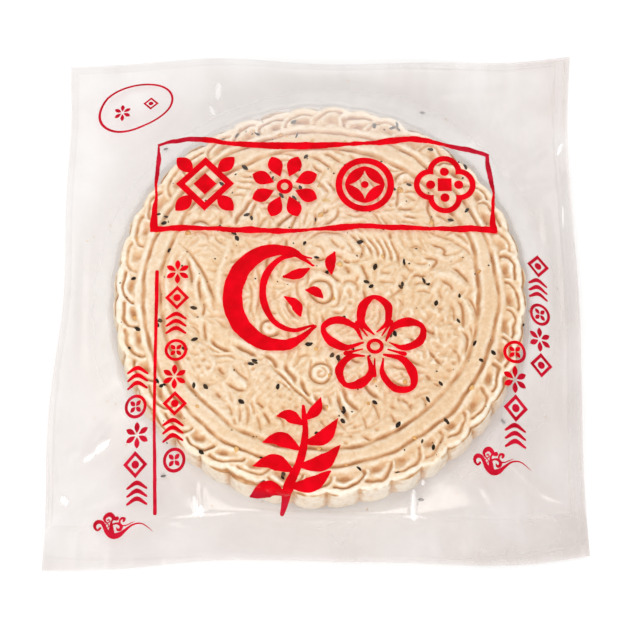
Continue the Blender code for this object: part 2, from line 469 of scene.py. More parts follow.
class Relief:
    """Raised and carved strokes on a fine square grid over the cake's top."""

    step = 0.3
    half = 103.2

    def __init__(self):
        axis = np.arange(-self.half, self.half + self.step / 2, self.step)
        self.axis = axis
        self.x, self.y = np.meshgrid(axis, axis)
        self.carved = np.zeros_like(self.x)
        self.hollow = np.zeros_like(self.x)
        self.raised = np.zeros_like(self.x)

    def stamp(self, field, px, py, size, half_width):
        """Raise a field to a bell round one point, where the bell is higher."""
        margin = int(2.6 * half_width / self.step) + 1
        col = int(round((px + self.half) / self.step))
        row = int(round((py + self.half) / self.step))
        rows = slice(max(row - margin, 0), row + margin + 1)
        cols = slice(max(col - margin, 0), col + margin + 1)
        d2 = (self.x[rows, cols] - px) ** 2 + (self.y[rows, cols] - py) ** 2
        field[rows, cols] = np.maximum(field[rows, cols], size * np.exp(-d2 / half_width**2))

    def along(self, field, points, size, half_width, taper):
        """Stamp a line that thins out over this share of its length at both ends."""
        line = curve(points, 0.36)
        t = np.linspace(0, 1, len(line))
        strength = np.clip(np.minimum(t, 1 - t) / taper, 0.25, 1)
        for (px, py), s in zip(line, strength):
            self.stamp(field, px, py, size * s, half_width * (0.6 + 0.4 * s))

    def carve(self, cut, *lines, taper=0.25):
        """Grooves of one kind, with the dough drawn down beside them so that it swells in between."""
        depth, half_width = cut
        for points in lines:
            self.along(self.carved, points, depth, half_width, taper)
            self.along(self.hollow, points, min(depth, 1.3) * 0.62, 2.5, taper)

    def ridge(self, points, height, half_width):
        self.along(self.raised, points, height, half_width, 0.25)

    def nest(self, cut, first, last, count):
        """Carved lines side by side, from one curve to another with the same number of points."""
        a, b = np.array(first, float), np.array(last, float)
        self.carve(cut, *(a + (b - a) * t for t in np.linspace(0, 1, count)))

    def arc(self, cut, centre, radius, start, end):
        """Part of a carved circle, by angles in degrees."""
        turns = np.radians(np.linspace(start, end, max(4, int(abs(end - start) / 30) + 1)))
        points = [(centre[0] + radius * math.cos(t), centre[1] + radius * math.sin(t)) for t in turns]
        self.carve(cut, points, taper=0.12)

    def boss(self, centre, radius):
        """A round button in a carved ring."""
        self.arc(FIRM, centre, radius + 0.9, 0, 360)
        d = np.hypot(self.x - centre[0], self.y - centre[1])
        self.raised = np.maximum(self.raised, 0.45 * np.clip(1 - (d / radius) ** 4, 0, 1) ** 0.5)

    def dimples(self, spots, depth=0.8, half_width=0.9):
        for px, py in spots:
            self.stamp(self.carved, px, py, depth, half_width)

    def mound(self, centre, radii, heading, height, edge=0.7):
        self.raised = np.maximum(self.raised, height * self.disc(centre, radii, heading, edge))

    def spiral(self, cut, centre, radius, start, turns):
        """A carved volute that winds in towards its centre, from an angle in degrees."""
        t = np.linspace(0, 1, 9)
        turn = math.radians(start) + t * turns * 2 * math.pi
        size = radius * (1 - 0.8 * t)
        points = np.stack([centre[0] + size * np.cos(turn), centre[1] + size * np.sin(turn)], 1)
        self.carve(cut, points, taper=0.1)

    def scales(self, inside, pitch, heading, height):
        """Overlapping round scales over the part of the field where inside is 1."""
        c, s = math.cos(math.radians(heading)), math.sin(math.radians(heading))
        u = (self.x * c + self.y * s) / pitch
        v = (-self.x * s + self.y * c) / pitch * 1.6
        best = np.zeros_like(u)
        for dv in (0, 1):
            row = np.floor(v) - dv
            offset = 0.5 * (row % 2)
            across = (u + offset) - np.round(u + offset)
            d = np.hypot(across, (v - row) / 1.6 - 0.1)
            scale = np.clip(1 - (d / 0.68) ** 4, 0, 1) * (1 - 0.5 * d)
            best = np.maximum(best, scale * (1 if dv == 0 else 0.75))
        self.raised = np.maximum(self.raised, height * best * inside)

    def stipple(self, inside, pitch, height, seed):
        """Uneven knobs, close together, over the part of the field where inside is 1."""
        knobs = np.clip(grains(self, seed, 0.4 * pitch) + 0.4, 0, 1.6) / 1.6
        self.raised = np.maximum(self.raised, height * knobs**0.8 * inside)

    def disc(self, centre, radii, heading=0.0, edge=0.15):
        """1 inside an ellipse and 0 outside, with a soft edge."""
        c, s = math.cos(math.radians(heading)), math.sin(math.radians(heading))
        dx, dy = self.x - centre[0], self.y - centre[1]
        d = np.hypot((dx * c + dy * s) / radii[0], (-dx * s + dy * c) / radii[1])
        return smooth_step((1 - d) / edge)


def left_leaf(relief):
    """The long pointed leaf along the ring on the left, with its veins running down from the tip."""
    relief.carve(
        FIRM,
        [(-69, 26.5), (-64, 22), (-60, 17), (-56.5, 11.5), (-54, 5), (-51.7, -1), (-50.6, -8)],
        [(-65.5, 20), (-63.7, 15.5), (-62.6, 10), (-62.2, 5)],
        [(-58.4, 10), (-58.4, 4), (-57.9, -1), (-57.4, -5)],
        [(-55.4, -5), (-55.9, -8.5), (-56.7, -12)],
    )
    relief.carve(
        SOFT,
        [(-71, 20), (-69.6, 15), (-68.4, 9), (-68, 1)],
        [(-72.5, 2), (-71, -2), (-70.5, -8)],
        [(-70.5, 25), (-73.3, 20), (-75, 14), (-75.8, 6), (-75.5, -10)],
        [(-64.5, -3), (-64, -9), (-65, -15)],
    )
    relief.ridge([(-72.5, 17), (-74, 8), (-74, -4), (-72, -14)], 0.5, 1.5)
    relief.ridge([(-67, 21), (-66, 13), (-65, 5), (-65, -4)], 0.45, 1.5)
    relief.ridge([(-62, 17), (-59.8, 10), (-59.8, 2), (-58.8, -6)], 0.45, 1.3)
    relief.ridge([(-57.5, 10), (-55.5, 3), (-54, -3), (-53, -8)], 0.55, 1.4)


def plume(relief):
    """The wing that fills the top: long strokes that fall to the right, and the quills on the left."""
    relief.carve(
        FIRM,
        [(-3.6, 69.2), (-1.2, 66.6), (2.4, 64.2)],
        [(-6, 73.2), (-1.5, 73), (1.5, 70.8), (4.5, 68), (7.2, 65.6)],
        [(1, 75.4), (5, 74.2), (8, 72.2), (11.2, 69.6)],
        [(0.4, 59), (2.4, 56.6), (4.2, 53.4)],
        [(4.4, 59.4), (6.2, 56.8), (7.6, 54)],
        [(-14, 65), (-11.6, 63.6), (-9.2, 61.6)],
        [(-13.6, 57.2), (-11, 56.4), (-8.6, 54.4)],
    )
    relief.carve(
        LIGHT,
        [(-23, 68.8), (-17.5, 70.6), (-13, 69.6), (-9, 66.6)],
        [(-26, 73.4), (-20.5, 74.2), (-14, 73.6), (-9, 72)],
        [(6, 76.6), (9.4, 75.6), (12.6, 73.4)],
        [(13.4, 74.6), (16, 72.4), (18.4, 69.8), (20, 66)],
        [(17, 76), (21.5, 74), (26, 73), (29, 70.6)],
        [(-7.6, 64), (-3, 61.4), (1, 57.4), (3.4, 52)],
        [(-8, 59), (-4, 56), (-1.4, 51.4)],
        [(-8.2, 54), (-5.6, 51), (-4, 47.4)],
        [(8.4, 64), (11, 60.6), (12.6, 56.4)],
        [(12.4, 66.6), (15.4, 62), (17, 57)],
        [(18, 64), (20.4, 59.4), (21.4, 54)],
        [(-24, 64), (-18, 65), (-13, 61)],
    )
    outer_quills = (
        (65.6, -38, -29.6), (62.6, -39.5, -30), (59.6, -41.8, -31), (56.3, -43.6, -32), (52.6, -43.4, -36),
    )
    for y, left, right in outer_quills:
        relief.carve(LIGHT, [(left, y), ((left + right) / 2, y + 0.2), (right, y - 0.4)])
    inner_quills = (
        (59.8, -25, -20), (55.6, -25.6, -19.6), (51.6, -26.2, -19.8), (48, -27, -20), (44.8, -28, -22),
    )
    for y, left, right in inner_quills:
        relief.carve(LIGHT, [(left, y), (right, y + 0.3)])
    relief.carve(
        DEEP,
        [(-30.6, 51.4), (-34, 48.4), (-37.4, 44), (-40.4, 40.4), (-42.4, 34)],
        [(-10.8, 46.2), (-13, 43.4), (-16.4, 40.2), (-19.4, 37.4), (-22.4, 33)],
    )
    relief.carve(
        FIRM,
        [(-30.4, 49), (-33, 44), (-34.4, 39)],
        [(-11, 43.4), (-12.2, 39.6), (-13.4, 36.4), (-15.6, 32)],
        [(-2.6, 42.4), (-2.4, 38.6), (-3.4, 35)],
        [(8.8, 46.8), (8.8, 43), (7.4, 40.2), (3.6, 37.4), (0.6, 35.8)],
        [(1.8, 44.6), (2.2, 42.4), (4.6, 44.4)],
        [(17.6, 46.6), (18.6, 44.4), (21.6, 44.8)],
    )
    relief.carve(
        LIGHT,
        [(-6.2, 43.4), (-7.2, 39), (-8.6, 34.6)],
        [(-25.4, 41), (-28, 37.6), (-30.4, 34)],
        [(11, 37.2), (17, 37.4), (23, 38)],
        [(12, 42.6), (17, 41.4), (22.4, 42)],
        [(-58, 64.4), (-54, 69), (-46.4, 71.6), (-40, 70.6)],
        [(-52, 60.6), (-48.6, 65), (-43.6, 66.8)],
    )
    relief.dimples([(-16.6, 61), (-18, 57), (-22, 61), (10, 56.6), (13, 51), (-15, 48)], 0.6)


def puffs(relief):
    """Rolled clouds between the leaf and the plume."""
    relief.carve(
        FIRM,
        [(-63.5, 35.5), (-61.6, 37.6), (-58, 38.4), (-55.2, 37), (-53.6, 34.8)],
        [(-49.4, 40), (-49.3, 36)],
        [(-68.4, 37), (-66.6, 41), (-62, 43)],
    )
    relief.carve(
        LIGHT,
        [(-60, 44), (-56.4, 47.6), (-51.4, 47.4), (-48.4, 43.6)],
        [(-57, 50), (-53, 54.6), (-47.6, 55)],
        [(-64, 47.4), (-60.6, 52), (-60, 57)],
        [(-52, 31), (-50.4, 28), (-46, 26.4)],
        [(-63.4, 31.4), (-59.4, 33), (-55.6, 31), (-54, 27)],
        [(-47, 47.6), (-44.4, 44), (-43.8, 39)],
    )
    relief.mound((-58, 34.6), (5.4, 3.2), -8, 0.6)
    relief.mound((-48.5, 51), (4.6, 3), 20, 0.5)


def curls(relief):
    """The smooth stems and volutes on the left of the middle flower."""
    relief.ridge([(-45, 28), (-46, 21), (-48, 14), (-49, 7), (-49, 0), (-47, -5), (-43, -9)], 0.75, 1.7)
    relief.carve(
        FIRM,
        [(-45.8, 4), (-45.7, 0), (-44.5, -3.6), (-42, -6.6), (-38.8, -9)],
        [(-41.6, 12.4), (-39.6, 11.9), (-37.4, 12.8), (-36.3, 15)],
        [(-25, 30), (-25, 25), (-25.8, 18), (-25.2, 12), (-23.6, 8.4), (-21.4, 6.4)],
        [(-16.3, 29.4), (-16.4, 25), (-17.2, 21)],
        [(-13.4, 4), (-14.4, -2), (-15.4, -6.4), (-13.4, -10.2), (-10.4, -13.8)],
    )
    relief.carve(
        SOFT,
        [(-43, 5.8), (-38, 5.6)],
        [(-42.6, 2), (-40.4, 0.6), (-38.6, -2.4)],
        [(-39.6, 24), (-36, 25)],
        [(-17, 17), (-19, 13), (-20.2, 9)],
        [(-13.4, 15), (-14.8, 11.6), (-15.6, 7.6)],
        [(-22.4, 3), (-22.1, 0), (-22.6, -3)],
        [(-55.5, -11.2), (-51, -11.7), (-45.6, -12)],
        [(-9.6, 27), (-9, 22), (-8, 14)],
    )
    relief.carve(
        LIGHT,
        [(-45, 15.6), (-41, 17.2), (-36.4, 19.2), (-32, 22)],
        [(-46.6, 9.6), (-43.6, 10.4)],
        [(-38.8, -20.2), (-35.4, -21.5), (-30.6, -21.6)],
        [(-37, -18.4), (-34.4, -16.8), (-31, -16)],
        [(-35.4, 8), (-33.6, 1), (-33.8, -7), (-36, -12)],
        [(-31.6, 18), (-29.6, 10), (-29.2, 1), (-30.6, -8), (-33, -13)],
    )
    relief.ridge([(-15, 18), (-18, 13), (-19.2, 8)], 0.5, 1.3)
    relief.ridge([(-42, 18.6), (-38, 20.4), (-34, 22.6)], 0.45, 1.2)
    relief.dimples([(-42.8, 22.6), (-46, 18.6), (-51, 11.7), (-39.4, -0.4)], 0.9, 0.8)
    relief.boss((-24.3, -16.8), 3.4)
    relief.dimples([(-24.3, -16.8)], 1.1, 0.9)
    relief.carve(LIGHT, [(-26.6, -6), (-24, -8.6), (-20.4, -9.6)], [(-16, -15), (-15.6, -19), (-15.4, -23)])


def middle_flower(relief):
    """The flower: a button in a deep ring, one curled petal round it and puffy petals outside."""
    centre = (0.8, 1.9)
    relief.boss(centre, 4.7)
    relief.arc(FIRM, centre, 5.6, -95, 95)
    relief.carve(
        FIRM,
        [(0.6, 13.4), (3, 12.5), (6, 10.6), (8.6, 7.9), (11.4, 5.2)],
        [(13, 15.4), (13.4, 13.4), (13.8, 11)],
        [(21.8, 28), (21.4, 24), (20.4, 20.6), (18.6, 18.2)],
        [(18.6, 17), (20.2, 14.6), (21.4, 11.6), (22.8, 8.6), (23.6, 6)],
        [(21.4, 3.4), (22, 0), (22.2, -4)],
        [(0.4, -9.6), (1.5, -13), (2.1, -16), (2, -19.6)],
        [(2.6, -18), (4.6, -20.2), (6, -22.2), (10.4, -24.8)],
        [(-2, 18.4), (1, 18), (3.4, 18.9)],
        [(12.2, 18.2), (13.6, 17.3), (15, 17.6)],
    )
    relief.carve(
        LIGHT,
        [(11.4, 5), (10.2, 2.6), (10.1, -1), (9.4, -4), (7, -5.9), (2.4, -6.3)],
        [(3.4, 18.9), (7, 19.9), (10.4, 19.4), (12.6, 17.8)],
        [(15, 17.6), (17.6, 17.8), (20, 19)],
        [(11, 2.8), (11.8, 5.6), (14.4, 7.1), (17, 6.2), (18.5, 3.4), (18, -0.6)],
        [(17.9, 10), (17.3, 7.4), (15.6, 6.6)],
        [(14, 3), (15.2, 1), (15, -2)],
        [(4.6, 15.4), (6.4, 14.4), (7.2, 12.4)],
        [(20.4, -8), (19, -12), (20.2, -16), (20.2, -20)],
        [(4, -8.4), (8, -9.6), (12, -9), (15, -5.6)],
        [(8, -13), (12.4, -14.4), (16.6, -12.6)],
        [(-10, 12), (-11, 5), (-9.6, -3), (-6, -9)],
        [(-6.4, 15.6), (-5.4, 9.6), (-6.6, 3)],
        [(-5.4, -2), (-6.6, -8), (-5, -14), (-1, -18)],
    )
    relief.dimples([(13.4, 13.4), (15.4, -4.8), (19, -12), (11.2, 24), (14.6, 1)], 1.0, 1.1)
    for spot, radii, heading in (
        ((8.6, 15.4), (4.6, 3.4), -20), ((17.4, 13), (3.2, 4.4), 10), ((14.4, 2.2), (3.6, 4.2), 0),
        ((7.4, 3), (2, 6), 10), ((12.4, -8), (6, 3), 10), ((6, -14), (4.4, 4), 0), ((-6, -13), (3, 5), 20),
    ):
        relief.mound(spot, radii, heading, 0.55, 0.8)


def fan(relief):
    """The nested curved ribs up to the right of the flower, and the smooth round petal beside them."""
    relief.nest(
        FIRM,
        [(13.6, 32), (18, 28.6), (21, 24.6), (21.6, 20)],
        [(34.6, 31), (36.4, 25.4), (38.4, 19.6), (38.8, 14)],
        6,
    )
    relief.carve(
        LIGHT,
        [(-8, 27), (-2, 31.6), (6, 32.6), (13, 31)],
        [(4.6, 29), (7.4, 25.6), (10.4, 24)],
        [(-4, 26), (0.6, 24.4), (2.6, 20.4)],
        [(12.6, 27.4), (15.4, 24.8), (17.4, 21)],
        [(29, 11.4), (31, 11), (34, 11.3)],
        [(27.6, 6.4), (32, 6), (36.6, 6.2)],
        [(40, 10.2), (42.6, 8.2)],
        [(33.6, -2.4), (37, 0.8), (41, 4.2)],
        [(38.4, -1.6), (39.8, -4), (41, -7)],
    )
    relief.mound((6, 25), (12, 7.4), -6, 0.7)
    relief.stipple(relief.disc((31, 3), (9, 6), 10, 0.5), 2.0, 0.4, 71)


def cloud_head(relief):
    """The rolled head with stacked lines, and the smooth band that sweeps over it along the ring."""
    relief.carve(
        FIRM,
        [(37.6, 77.2), (41, 76.3), (44, 74.2), (47.6, 71.6), (53, 67.4), (57, 63)],
        [(37.6, 57), (37.2, 60.4), (39.4, 63.2), (43.4, 64.4), (48.6, 62)],
        [(38.6, 57.6), (38.2, 52), (38.6, 45)],
        [(39, 45.6), (42.6, 45), (46.6, 45.3)],
        [(42, 41.2), (45, 41), (48, 40.2)],
        [(53.6, 60), (54.2, 52), (53.6, 45), (54.8, 40), (56.6, 34.6), (57.4, 30)],
        [(46, 63.3), (48.6, 61.6)],
        [(35.2, 32.6), (35.5, 29.4)],
    )
    relief.carve(
        LIGHT,
        [(40, 57.8), (43.6, 58.6), (48.4, 57.6)],
        [(41.4, 53.4), (45, 53.8), (49, 53)],
        [(42.4, 51.8), (44.6, 50.6), (47.6, 48.8)],
        [(40, 38), (44, 37.9), (48, 36.8)],
        [(29.4, 41.4), (32, 38.8), (34.6, 36)],
        [(25.6, 43), (28.6, 39.6), (30.6, 36)],
        [(57, 41.2), (60, 40), (64.4, 37)],
        [(63.4, 41.6), (66, 38.8), (67.6, 36.4)],
        [(58.6, 53), (60.4, 47), (63.4, 43.6)],
        [(64, 52), (65.4, 47.6), (68, 44)],
        [(33.6, 66.6), (37, 65), (41, 65.4)],
        [(26, 66.6), (30, 62), (33, 56), (33.4, 49)],
        [(22.6, 62), (26.6, 57), (28.8, 51), (29, 45)],
        [(27.6, 78), (28.4, 73.6), (30.6, 70)],
    )
    relief.dimples([(36.2, 51.4), (35.6, 47.4), (39, 58), (40, 45.6), (57.4, 45.8), (59.4, 52.6)], 1.1, 1.0)
    relief.mound((42, 70), (16, 4.6), -36, 0.8)
    relief.ridge([(38.6, 59.4), (41, 62.2), (45, 62.6), (47.4, 60)], 0.5, 1.0)


def right_feathers(relief):
    """Strokes that follow the ring on the right, the leaf under them and the ribs below."""
    relief.carve(
        FIRM,
        [(49.4, 20), (52, 19.1), (55.4, 18.7), (57.8, 17.2), (56.4, 14.8), (53.6, 11.6)],
        [(44.4, 9.4), (48, 10.7), (50.4, 10), (53, 9.8)],
        [(53.6, 26.6), (57, 25.6), (60, 25), (61.5, 22.8), (61.4, 20.6), (65.4, 20.8)],
        [(63.6, 14.2), (67, 12), (70.2, 9), (73.6, 4.8)],
        [(59.4, 7.6), (62, 6), (64.2, 4.4), (65.2, 1.6)],
        [(66.4, -1.6), (68.5, -5), (69.6, -8.6), (69.7, -13), (69.4, -17), (70.4, -19.4)],
        [(72, -0.8), (75, -4.2), (76.2, -8), (76.2, -13)],
        [(68.2, -19.8), (70.4, -22), (71, -26), (70, -31)],
    )
    relief.carve(
        LIGHT,
        [(63, 29), (68, 25.8), (72, 22), (74.6, 17.6)],
        [(57, 31), (62, 30), (67, 27.4)],
        [(66, 31.6), (70.6, 28), (73.4, 24)],
        [(46, 16.2), (50, 15.9), (53.4, 16.3)],
        [(58.4, 3), (59, 0), (59.7, -3)],
        [(43, 24), (47.6, 24.8), (51, 23.4)],
        [(41, 16), (43.6, 13), (47, 12.6)],
        [(44, 5), (49, 6.4), (54, 5.4), (57.4, 7.6)],
        [(46, 1.4), (51, 2), (55, 0.6)],
        [(73, -16.6), (73.4, -21), (73, -26)],
    )
    relief.ridge([(57, 10), (62, 9.6), (67, 7), (71, 2.8)], 0.95, 2.0)
    relief.ridge([(69, -1), (72, -6), (73, -12), (72.4, -18)], 0.6, 1.2)
    relief.mound((50, 15), (6, 3.6), 0, 0.5)


def round_body(relief):
    """The big knobbly round form on the right, with the ridges across it."""
    body = relief.disc((53, -22), (21, 18), -30, 0.35)
    relief.stipple(body, 2.0, 0.8, 75)
    relief.carve(
        FIRM,
        [(40.6, -10.8), (43, -12.2), (45, -13.1), (47.4, -13.6)],
        [(48, -14.8), (50, -17), (53, -19), (56.4, -20.8)],
        [(42.6, -22.3), (45.6, -23.6), (48.6, -25.8)],
        [(29.6, -30.3), (35, -32), (40, -32.4), (43.4, -33.4), (46.4, -35), (51, -37)],
        [(51.4, -28.2), (53.6, -31), (56.2, -33.6), (58.4, -35.6)],
        [(33.2, -42.2), (36, -44.4), (39, -45.6), (44, -45.7)],
        [(28.6, -38.2), (31.6, -39.8)],
        [(50.6, -40.6), (53, -43.4)],
    )
    relief.carve(
        LIGHT,
        [(54.6, -45), (57.4, -47.4)],
        [(35, -8), (36, -14), (33, -20), (28, -24)],
        [(29.4, -6), (29.6, -12), (27, -17)],
        [(33, -24.6), (38.6, -26.4), (43.6, -29.6)],
        [(31, -34.8), (36, -36.6), (41.6, -37.8), (46, -40.6)],
        [(39, -38.6), (40.4, -41.6)],
        [(63, -5), (65, -9), (65.4, -15)],
        [(62, -26), (66, -30), (66.4, -36)],
    )
    hollows = [(60, -13.6), (64, -15.4), (64, -34.6), (62, -39), (58.6, -8), (50, -7), (56, -26), (62, -21)]
    relief.dimples(hollows, 0.8, 1.0)
    relief.mound((37, -29), (9, 3), -12, 0.6)


def tail(relief):
    """The long nested feathers that sweep down to the ring below the second button."""
    relief.boss((0.5, -39.5), 4.0)
    relief.spiral(LIGHT, (0.5, -39.5), 2.8, 100, -1.2)
    relief.arc(FIRM, (0.5, -39.5), 5.0, -20, 80)
    relief.carve(
        DEEP,
        [(18, -39.4), (20.6, -43.2), (22.6, -47), (25.4, -50.4), (30.4, -53.8)],
        [(11, -45.6), (11.6, -49.4), (13.4, -53.4), (16.4, -56.8), (20, -60)],
        [(8.2, -48.6), (9, -53), (10.6, -57), (12.7, -60.4), (14.2, -64)],
        [(-17, -33.6), (-16, -37), (-13.8, -39.8), (-12.2, -42), (-12.2, -45)],
        [(-9.2, -42.4), (-8, -46.6), (-6.5, -50.2), (-5, -53.4)],
        [(-3.2, -50.4), (-1.4, -53.6), (0.6, -56), (3.6, -58.8)],
    )
    relief.carve(
        LIGHT,
        [(3.2, -49.4), (4.5, -52.4), (5.2, -56)],
        [(20.2, -60.4), (21, -64), (22.4, -69)],
        [(24, -54), (27, -59), (28.6, -65)],
        [(33.2, -59), (35, -62), (36.2, -65.4)],
        [(48.2, -51.6), (50, -55), (50.6, -58.4)],
        [(38, -51), (41.6, -55), (43, -59)],
        [(2.4, -31.6), (3, -34), (4.4, -36)],
        [(-4, -32.6), (-3.9, -36), (-5.4, -38.4)],
        [(-11, -31.6), (-8, -31), (-4.4, -31.2)],
        [(6, -60), (9, -65), (12.6, -69)],
        [(0, -62), (3.4, -67.4), (7, -72)],
        [(19.6, -73.8), (22, -75), (25, -76.3)],
        [(8, -30.4), (11, -35), (15, -37.6)],
    )
    relief.carve(
        FIRM,
        [(7.6, -37.4), (8.1, -41)],
        [(20, -71.3), (23, -73), (27, -74.7)],
        [(12, -30), (16, -33.6), (20.6, -35)],
    )
    hollows = [(16.6, -66.6), (14.4, -71), (12, -75), (42.6, -56), (34.6, -56.6), (38, -52.6), (27, -68.4)]
    relief.dimples(hollows, 1.1, 1.0)
    relief.stipple(relief.disc((40, -58), (9, 5), 35, 0.5), 1.9, 0.45, 78)


def ribbon(relief):
    """The smooth band that winds over the scaled body, with deep folds under it."""
    relief.carve(
        DEEP,
        [(-52.6, -21.6), (-50, -24.8), (-46.4, -27.4), (-42.6, -29.2)],
        [(-41.6, -25.8), (-38, -27.3), (-34.6, -28.5), (-32, -30), (-30.6, -32.4)],
        [(-27.6, -31), (-24, -32.6), (-21.8, -34.8), (-20.3, -38.4)],
    )
    relief.carve(
        FIRM,
        [(-55.6, -14.4), (-56.1, -18), (-55.7, -20.6), (-54.6, -23.4)],
        [(-26, -34), (-20, -39), (-16, -43.2), (-12, -48), (-8, -52.5), (-3, -56.6), (3, -61)],
    )
    relief.carve(
        LIGHT,
        [(-62.4, -16.6), (-60, -18.4), (-58.6, -21)],
        [(-53.6, -26), (-50.4, -28.2), (-47.4, -29.4)],
        [(-52.6, -31), (-48, -31), (-43.6, -31.2), (-39.6, -34)],
        [(-19.4, -43.6), (-16.4, -46.4), (-13.4, -49.4)],
        [(-31.6, -24.6), (-29.6, -27.4)],
        [(-21, -24), (-16, -26.2), (-11, -27)],
    )
    relief.ridge([(-50, -17), (-45, -22), (-38, -24), (-31, -26), (-24, -29)], 0.7, 2.0)
    relief.ridge([(-23, -37), (-18, -39.4), (-13, -45), (-7, -51), (0, -57)], 0.6, 1.0)


def scaled_body(relief):
    """The scaly body along the lower left, with a smooth leaf on it and fins towards the ring."""
    relief.scales(relief.disc((-58, -33), (8, 10), 35), 4.4, 125, 0.6)
    relief.scales(relief.disc((-20, -49), (20, 9), -38, 0.3), 4.6, 52, 0.6)
    relief.scales(relief.disc((-9, -64), (15, 8), -20, 0.3), 4.4, 60, 0.5)
    relief.stipple(relief.disc((-31, -39), (8, 6), -30, 0.5), 1.9, 0.4, 81)
    relief.carve(
        FIRM,
        [(-45, -45), (-42, -46.4), (-39, -47.6), (-35.6, -48)],
        [(-48.7, -37), (-47.4, -39.6), (-45.8, -41.6)],
        [(-49.2, -49.6), (-47.2, -52.4)],
        [(-30.4, -53.6), (-27, -57.2)],
        [(-27.2, -59), (-25, -62), (-23.2, -66)],
    )
    relief.carve(
        LIGHT,
        [(-41.6, -36.8), (-39, -39.5), (-36, -41.6), (-33.6, -43.6)],
        [(-44.4, -55.4), (-42.6, -58.4), (-42, -61)],
        [(-36.6, -53.4), (-34.2, -57.6), (-34, -62), (-34.8, -67.4)],
        [(-38.6, -56), (-38, -60), (-38.4, -65)],
        [(-33.4, -52.6), (-32, -56.4), (-31.2, -61)],
        [(-30.4, -60), (-29, -64), (-28.6, -69)],
        [(-41, -62), (-40, -66)],
        [(-20.6, -61), (-17.6, -64), (-16.6, -68)],
        [(-24, -70), (-17, -72.6), (-8, -73.4)],
    )
    relief.carve(SOFT, [(-60.4, -40.6), (-57, -43), (-53, -45.2), (-47.4, -44)])
    upper = [(-64, -33), (-60, -30.5), (-56, -28), (-55.5, -33), (-58, -36.5), (-53, -37), (-35.5, -34.5)]
    middle = [(-32, -37.6), (-24.5, -42.5), (-20, -44), (-19, -51), (-14, -53)]
    lower = [(-11.5, -57), (-17, -57), (-20, -62), (-9.5, -63.5)]
    relief.dimples(upper + middle + lower, 0.9, 0.9)
    relief.mound((-40, -42.6), (8, 3.8), -42, 0.75)


# ---------------------------------------------------------------- the rim's twisted scallops
def lobe_cell(angle):
    """The scallop that a point belongs to, and its place along it in millimetres.

    They start a little past the x axis, and are slightly longer on one side of the cake than on the other.
    """
    shifted = angle - math.radians(0.9) - math.radians(1.3) * np.cos(angle + math.radians(40))
    cell = np.floor(shifted / LOBE_PITCH)
    return cell, (shifted / LOBE_PITCH - cell - 0.5) * LOBE_LENGTH


def lobe_swell(angle):
    """1 at the middle of a scallop and 0 in the notch between two."""
    _, along = lobe_cell(angle)
    return (np.sqrt(1 - (along / LOBE_HALF) ** 2) - NOTCH_SHARE) / (1 - NOTCH_SHARE)


def lobe_relief(angle, out):
    """Height of the twisted scallops, out millimetres beyond the foot of the thin ring.

    Each is a hollow, a crescent round it, a groove and an outer strand. Clockwise ones lie over the next.
    """
    cell, along = lobe_cell(angle)
    rng = np.random.default_rng(31)
    wear = rng.uniform(0.65, 1.25, LOBES + 2)
    lean = rng.uniform(-0.8, 0.8, LOBES + 2)
    z = np.full(np.shape(along), -1.6)
    for step in (1, 0, -1):  # from the counterclockwise neighbour, which lies lowest, to the clockwise one
        index = (cell + step).astype(int) % LOBES
        w, tilt = wear[index], lean[index]
        a = along - step * LOBE_LENGTH
        inner = np.hypot((a - 1.0 - tilt) / LOBE_INSIDE[0], out / (LOBE_INSIDE[1] + 0.5 * tilt))
        outer = np.hypot(a / LOBE_HALF, out / LOBE_REACH)
        share = np.clip((inner - 1) / np.maximum(inner - outer, 1e-3), 0, 1)
        crescent = 0.62 * bump((inner - 0.74) / 0.17, 1.0)
        hollow = 1.75 * bump(np.hypot((a - 1.6 - tilt) / 2.9, (out - 1.8) / 1.5), 1.0)
        groove = 1.25 * bump((inner - 1.0) / 0.08, 1.0)
        strand = 0.75 * np.sin(math.pi * share) ** 0.6
        shape = -0.8 + w * (crescent - hollow - groove + strand)
        edge = smooth_step((1.0 - outer) / 0.07)
        z = np.where(outer < 1.0, z * (1 - edge) + shape * edge, z)
    return z


# ---------------------------------------------------------------- the whole of the cake's top
def filling(relief):
    """Short strokes, side by side, over the parts that the figures leave plain."""
    rng = np.random.default_rng(91)
    busy = np.maximum(blurred(np.clip(relief.carved, 0, 1), 1.5 / relief.step), 1.2 * relief.raised)
    for gx in np.arange(-75, 76, 4.6):
        for gy in np.arange(-75, 76, 4.6):
            x, y = gx + rng.uniform(-1.2, 1.2), gy + rng.uniform(-1.2, 1.2)
            strength = rng.uniform(0.2, 0.6)
            if math.hypot(x, y) > 73 or float(sampled(relief, busy, x, y)) > 0.17:
                continue
            halves = []
            for way in (-1, 1):
                px, py, half = x, y, []
                for _ in range(rng.integers(3, 6)):
                    heading = 1.6 * float(waves(px, py, 92, 50, 110, 5)) + 0.6
                    px, py = px + way * 1.1 * math.cos(heading), py + way * 1.1 * math.sin(heading)
                    if float(sampled(relief, busy, px, py)) > 0.34:
                        break
                    half.append((px, py))
                halves.append(half)
            line = [*halves[0][::-1], (x, y), *halves[1]]
            if len(line) > 3:
                relief.carve((LIGHT[0] * strength, 0.7), line)


def grains(relief, seed, size):
    """Random unevenness in lumps of about this size in millimetres, mostly between -2 and 2."""
    field = blurred(np.random.default_rng(seed).standard_normal(relief.x.shape), size / relief.step)
    return field / field.std()


def wavering(r, angle, seed, size):
    """Radii that waver along a ring, as a hand-cut mould's do."""
    swings = np.sin(3 * angle + seed) + np.sin(7 * angle + 2 * seed) + np.sin(17 * angle + seed)
    return r + size * (math.cos(seed) + swings) / 2


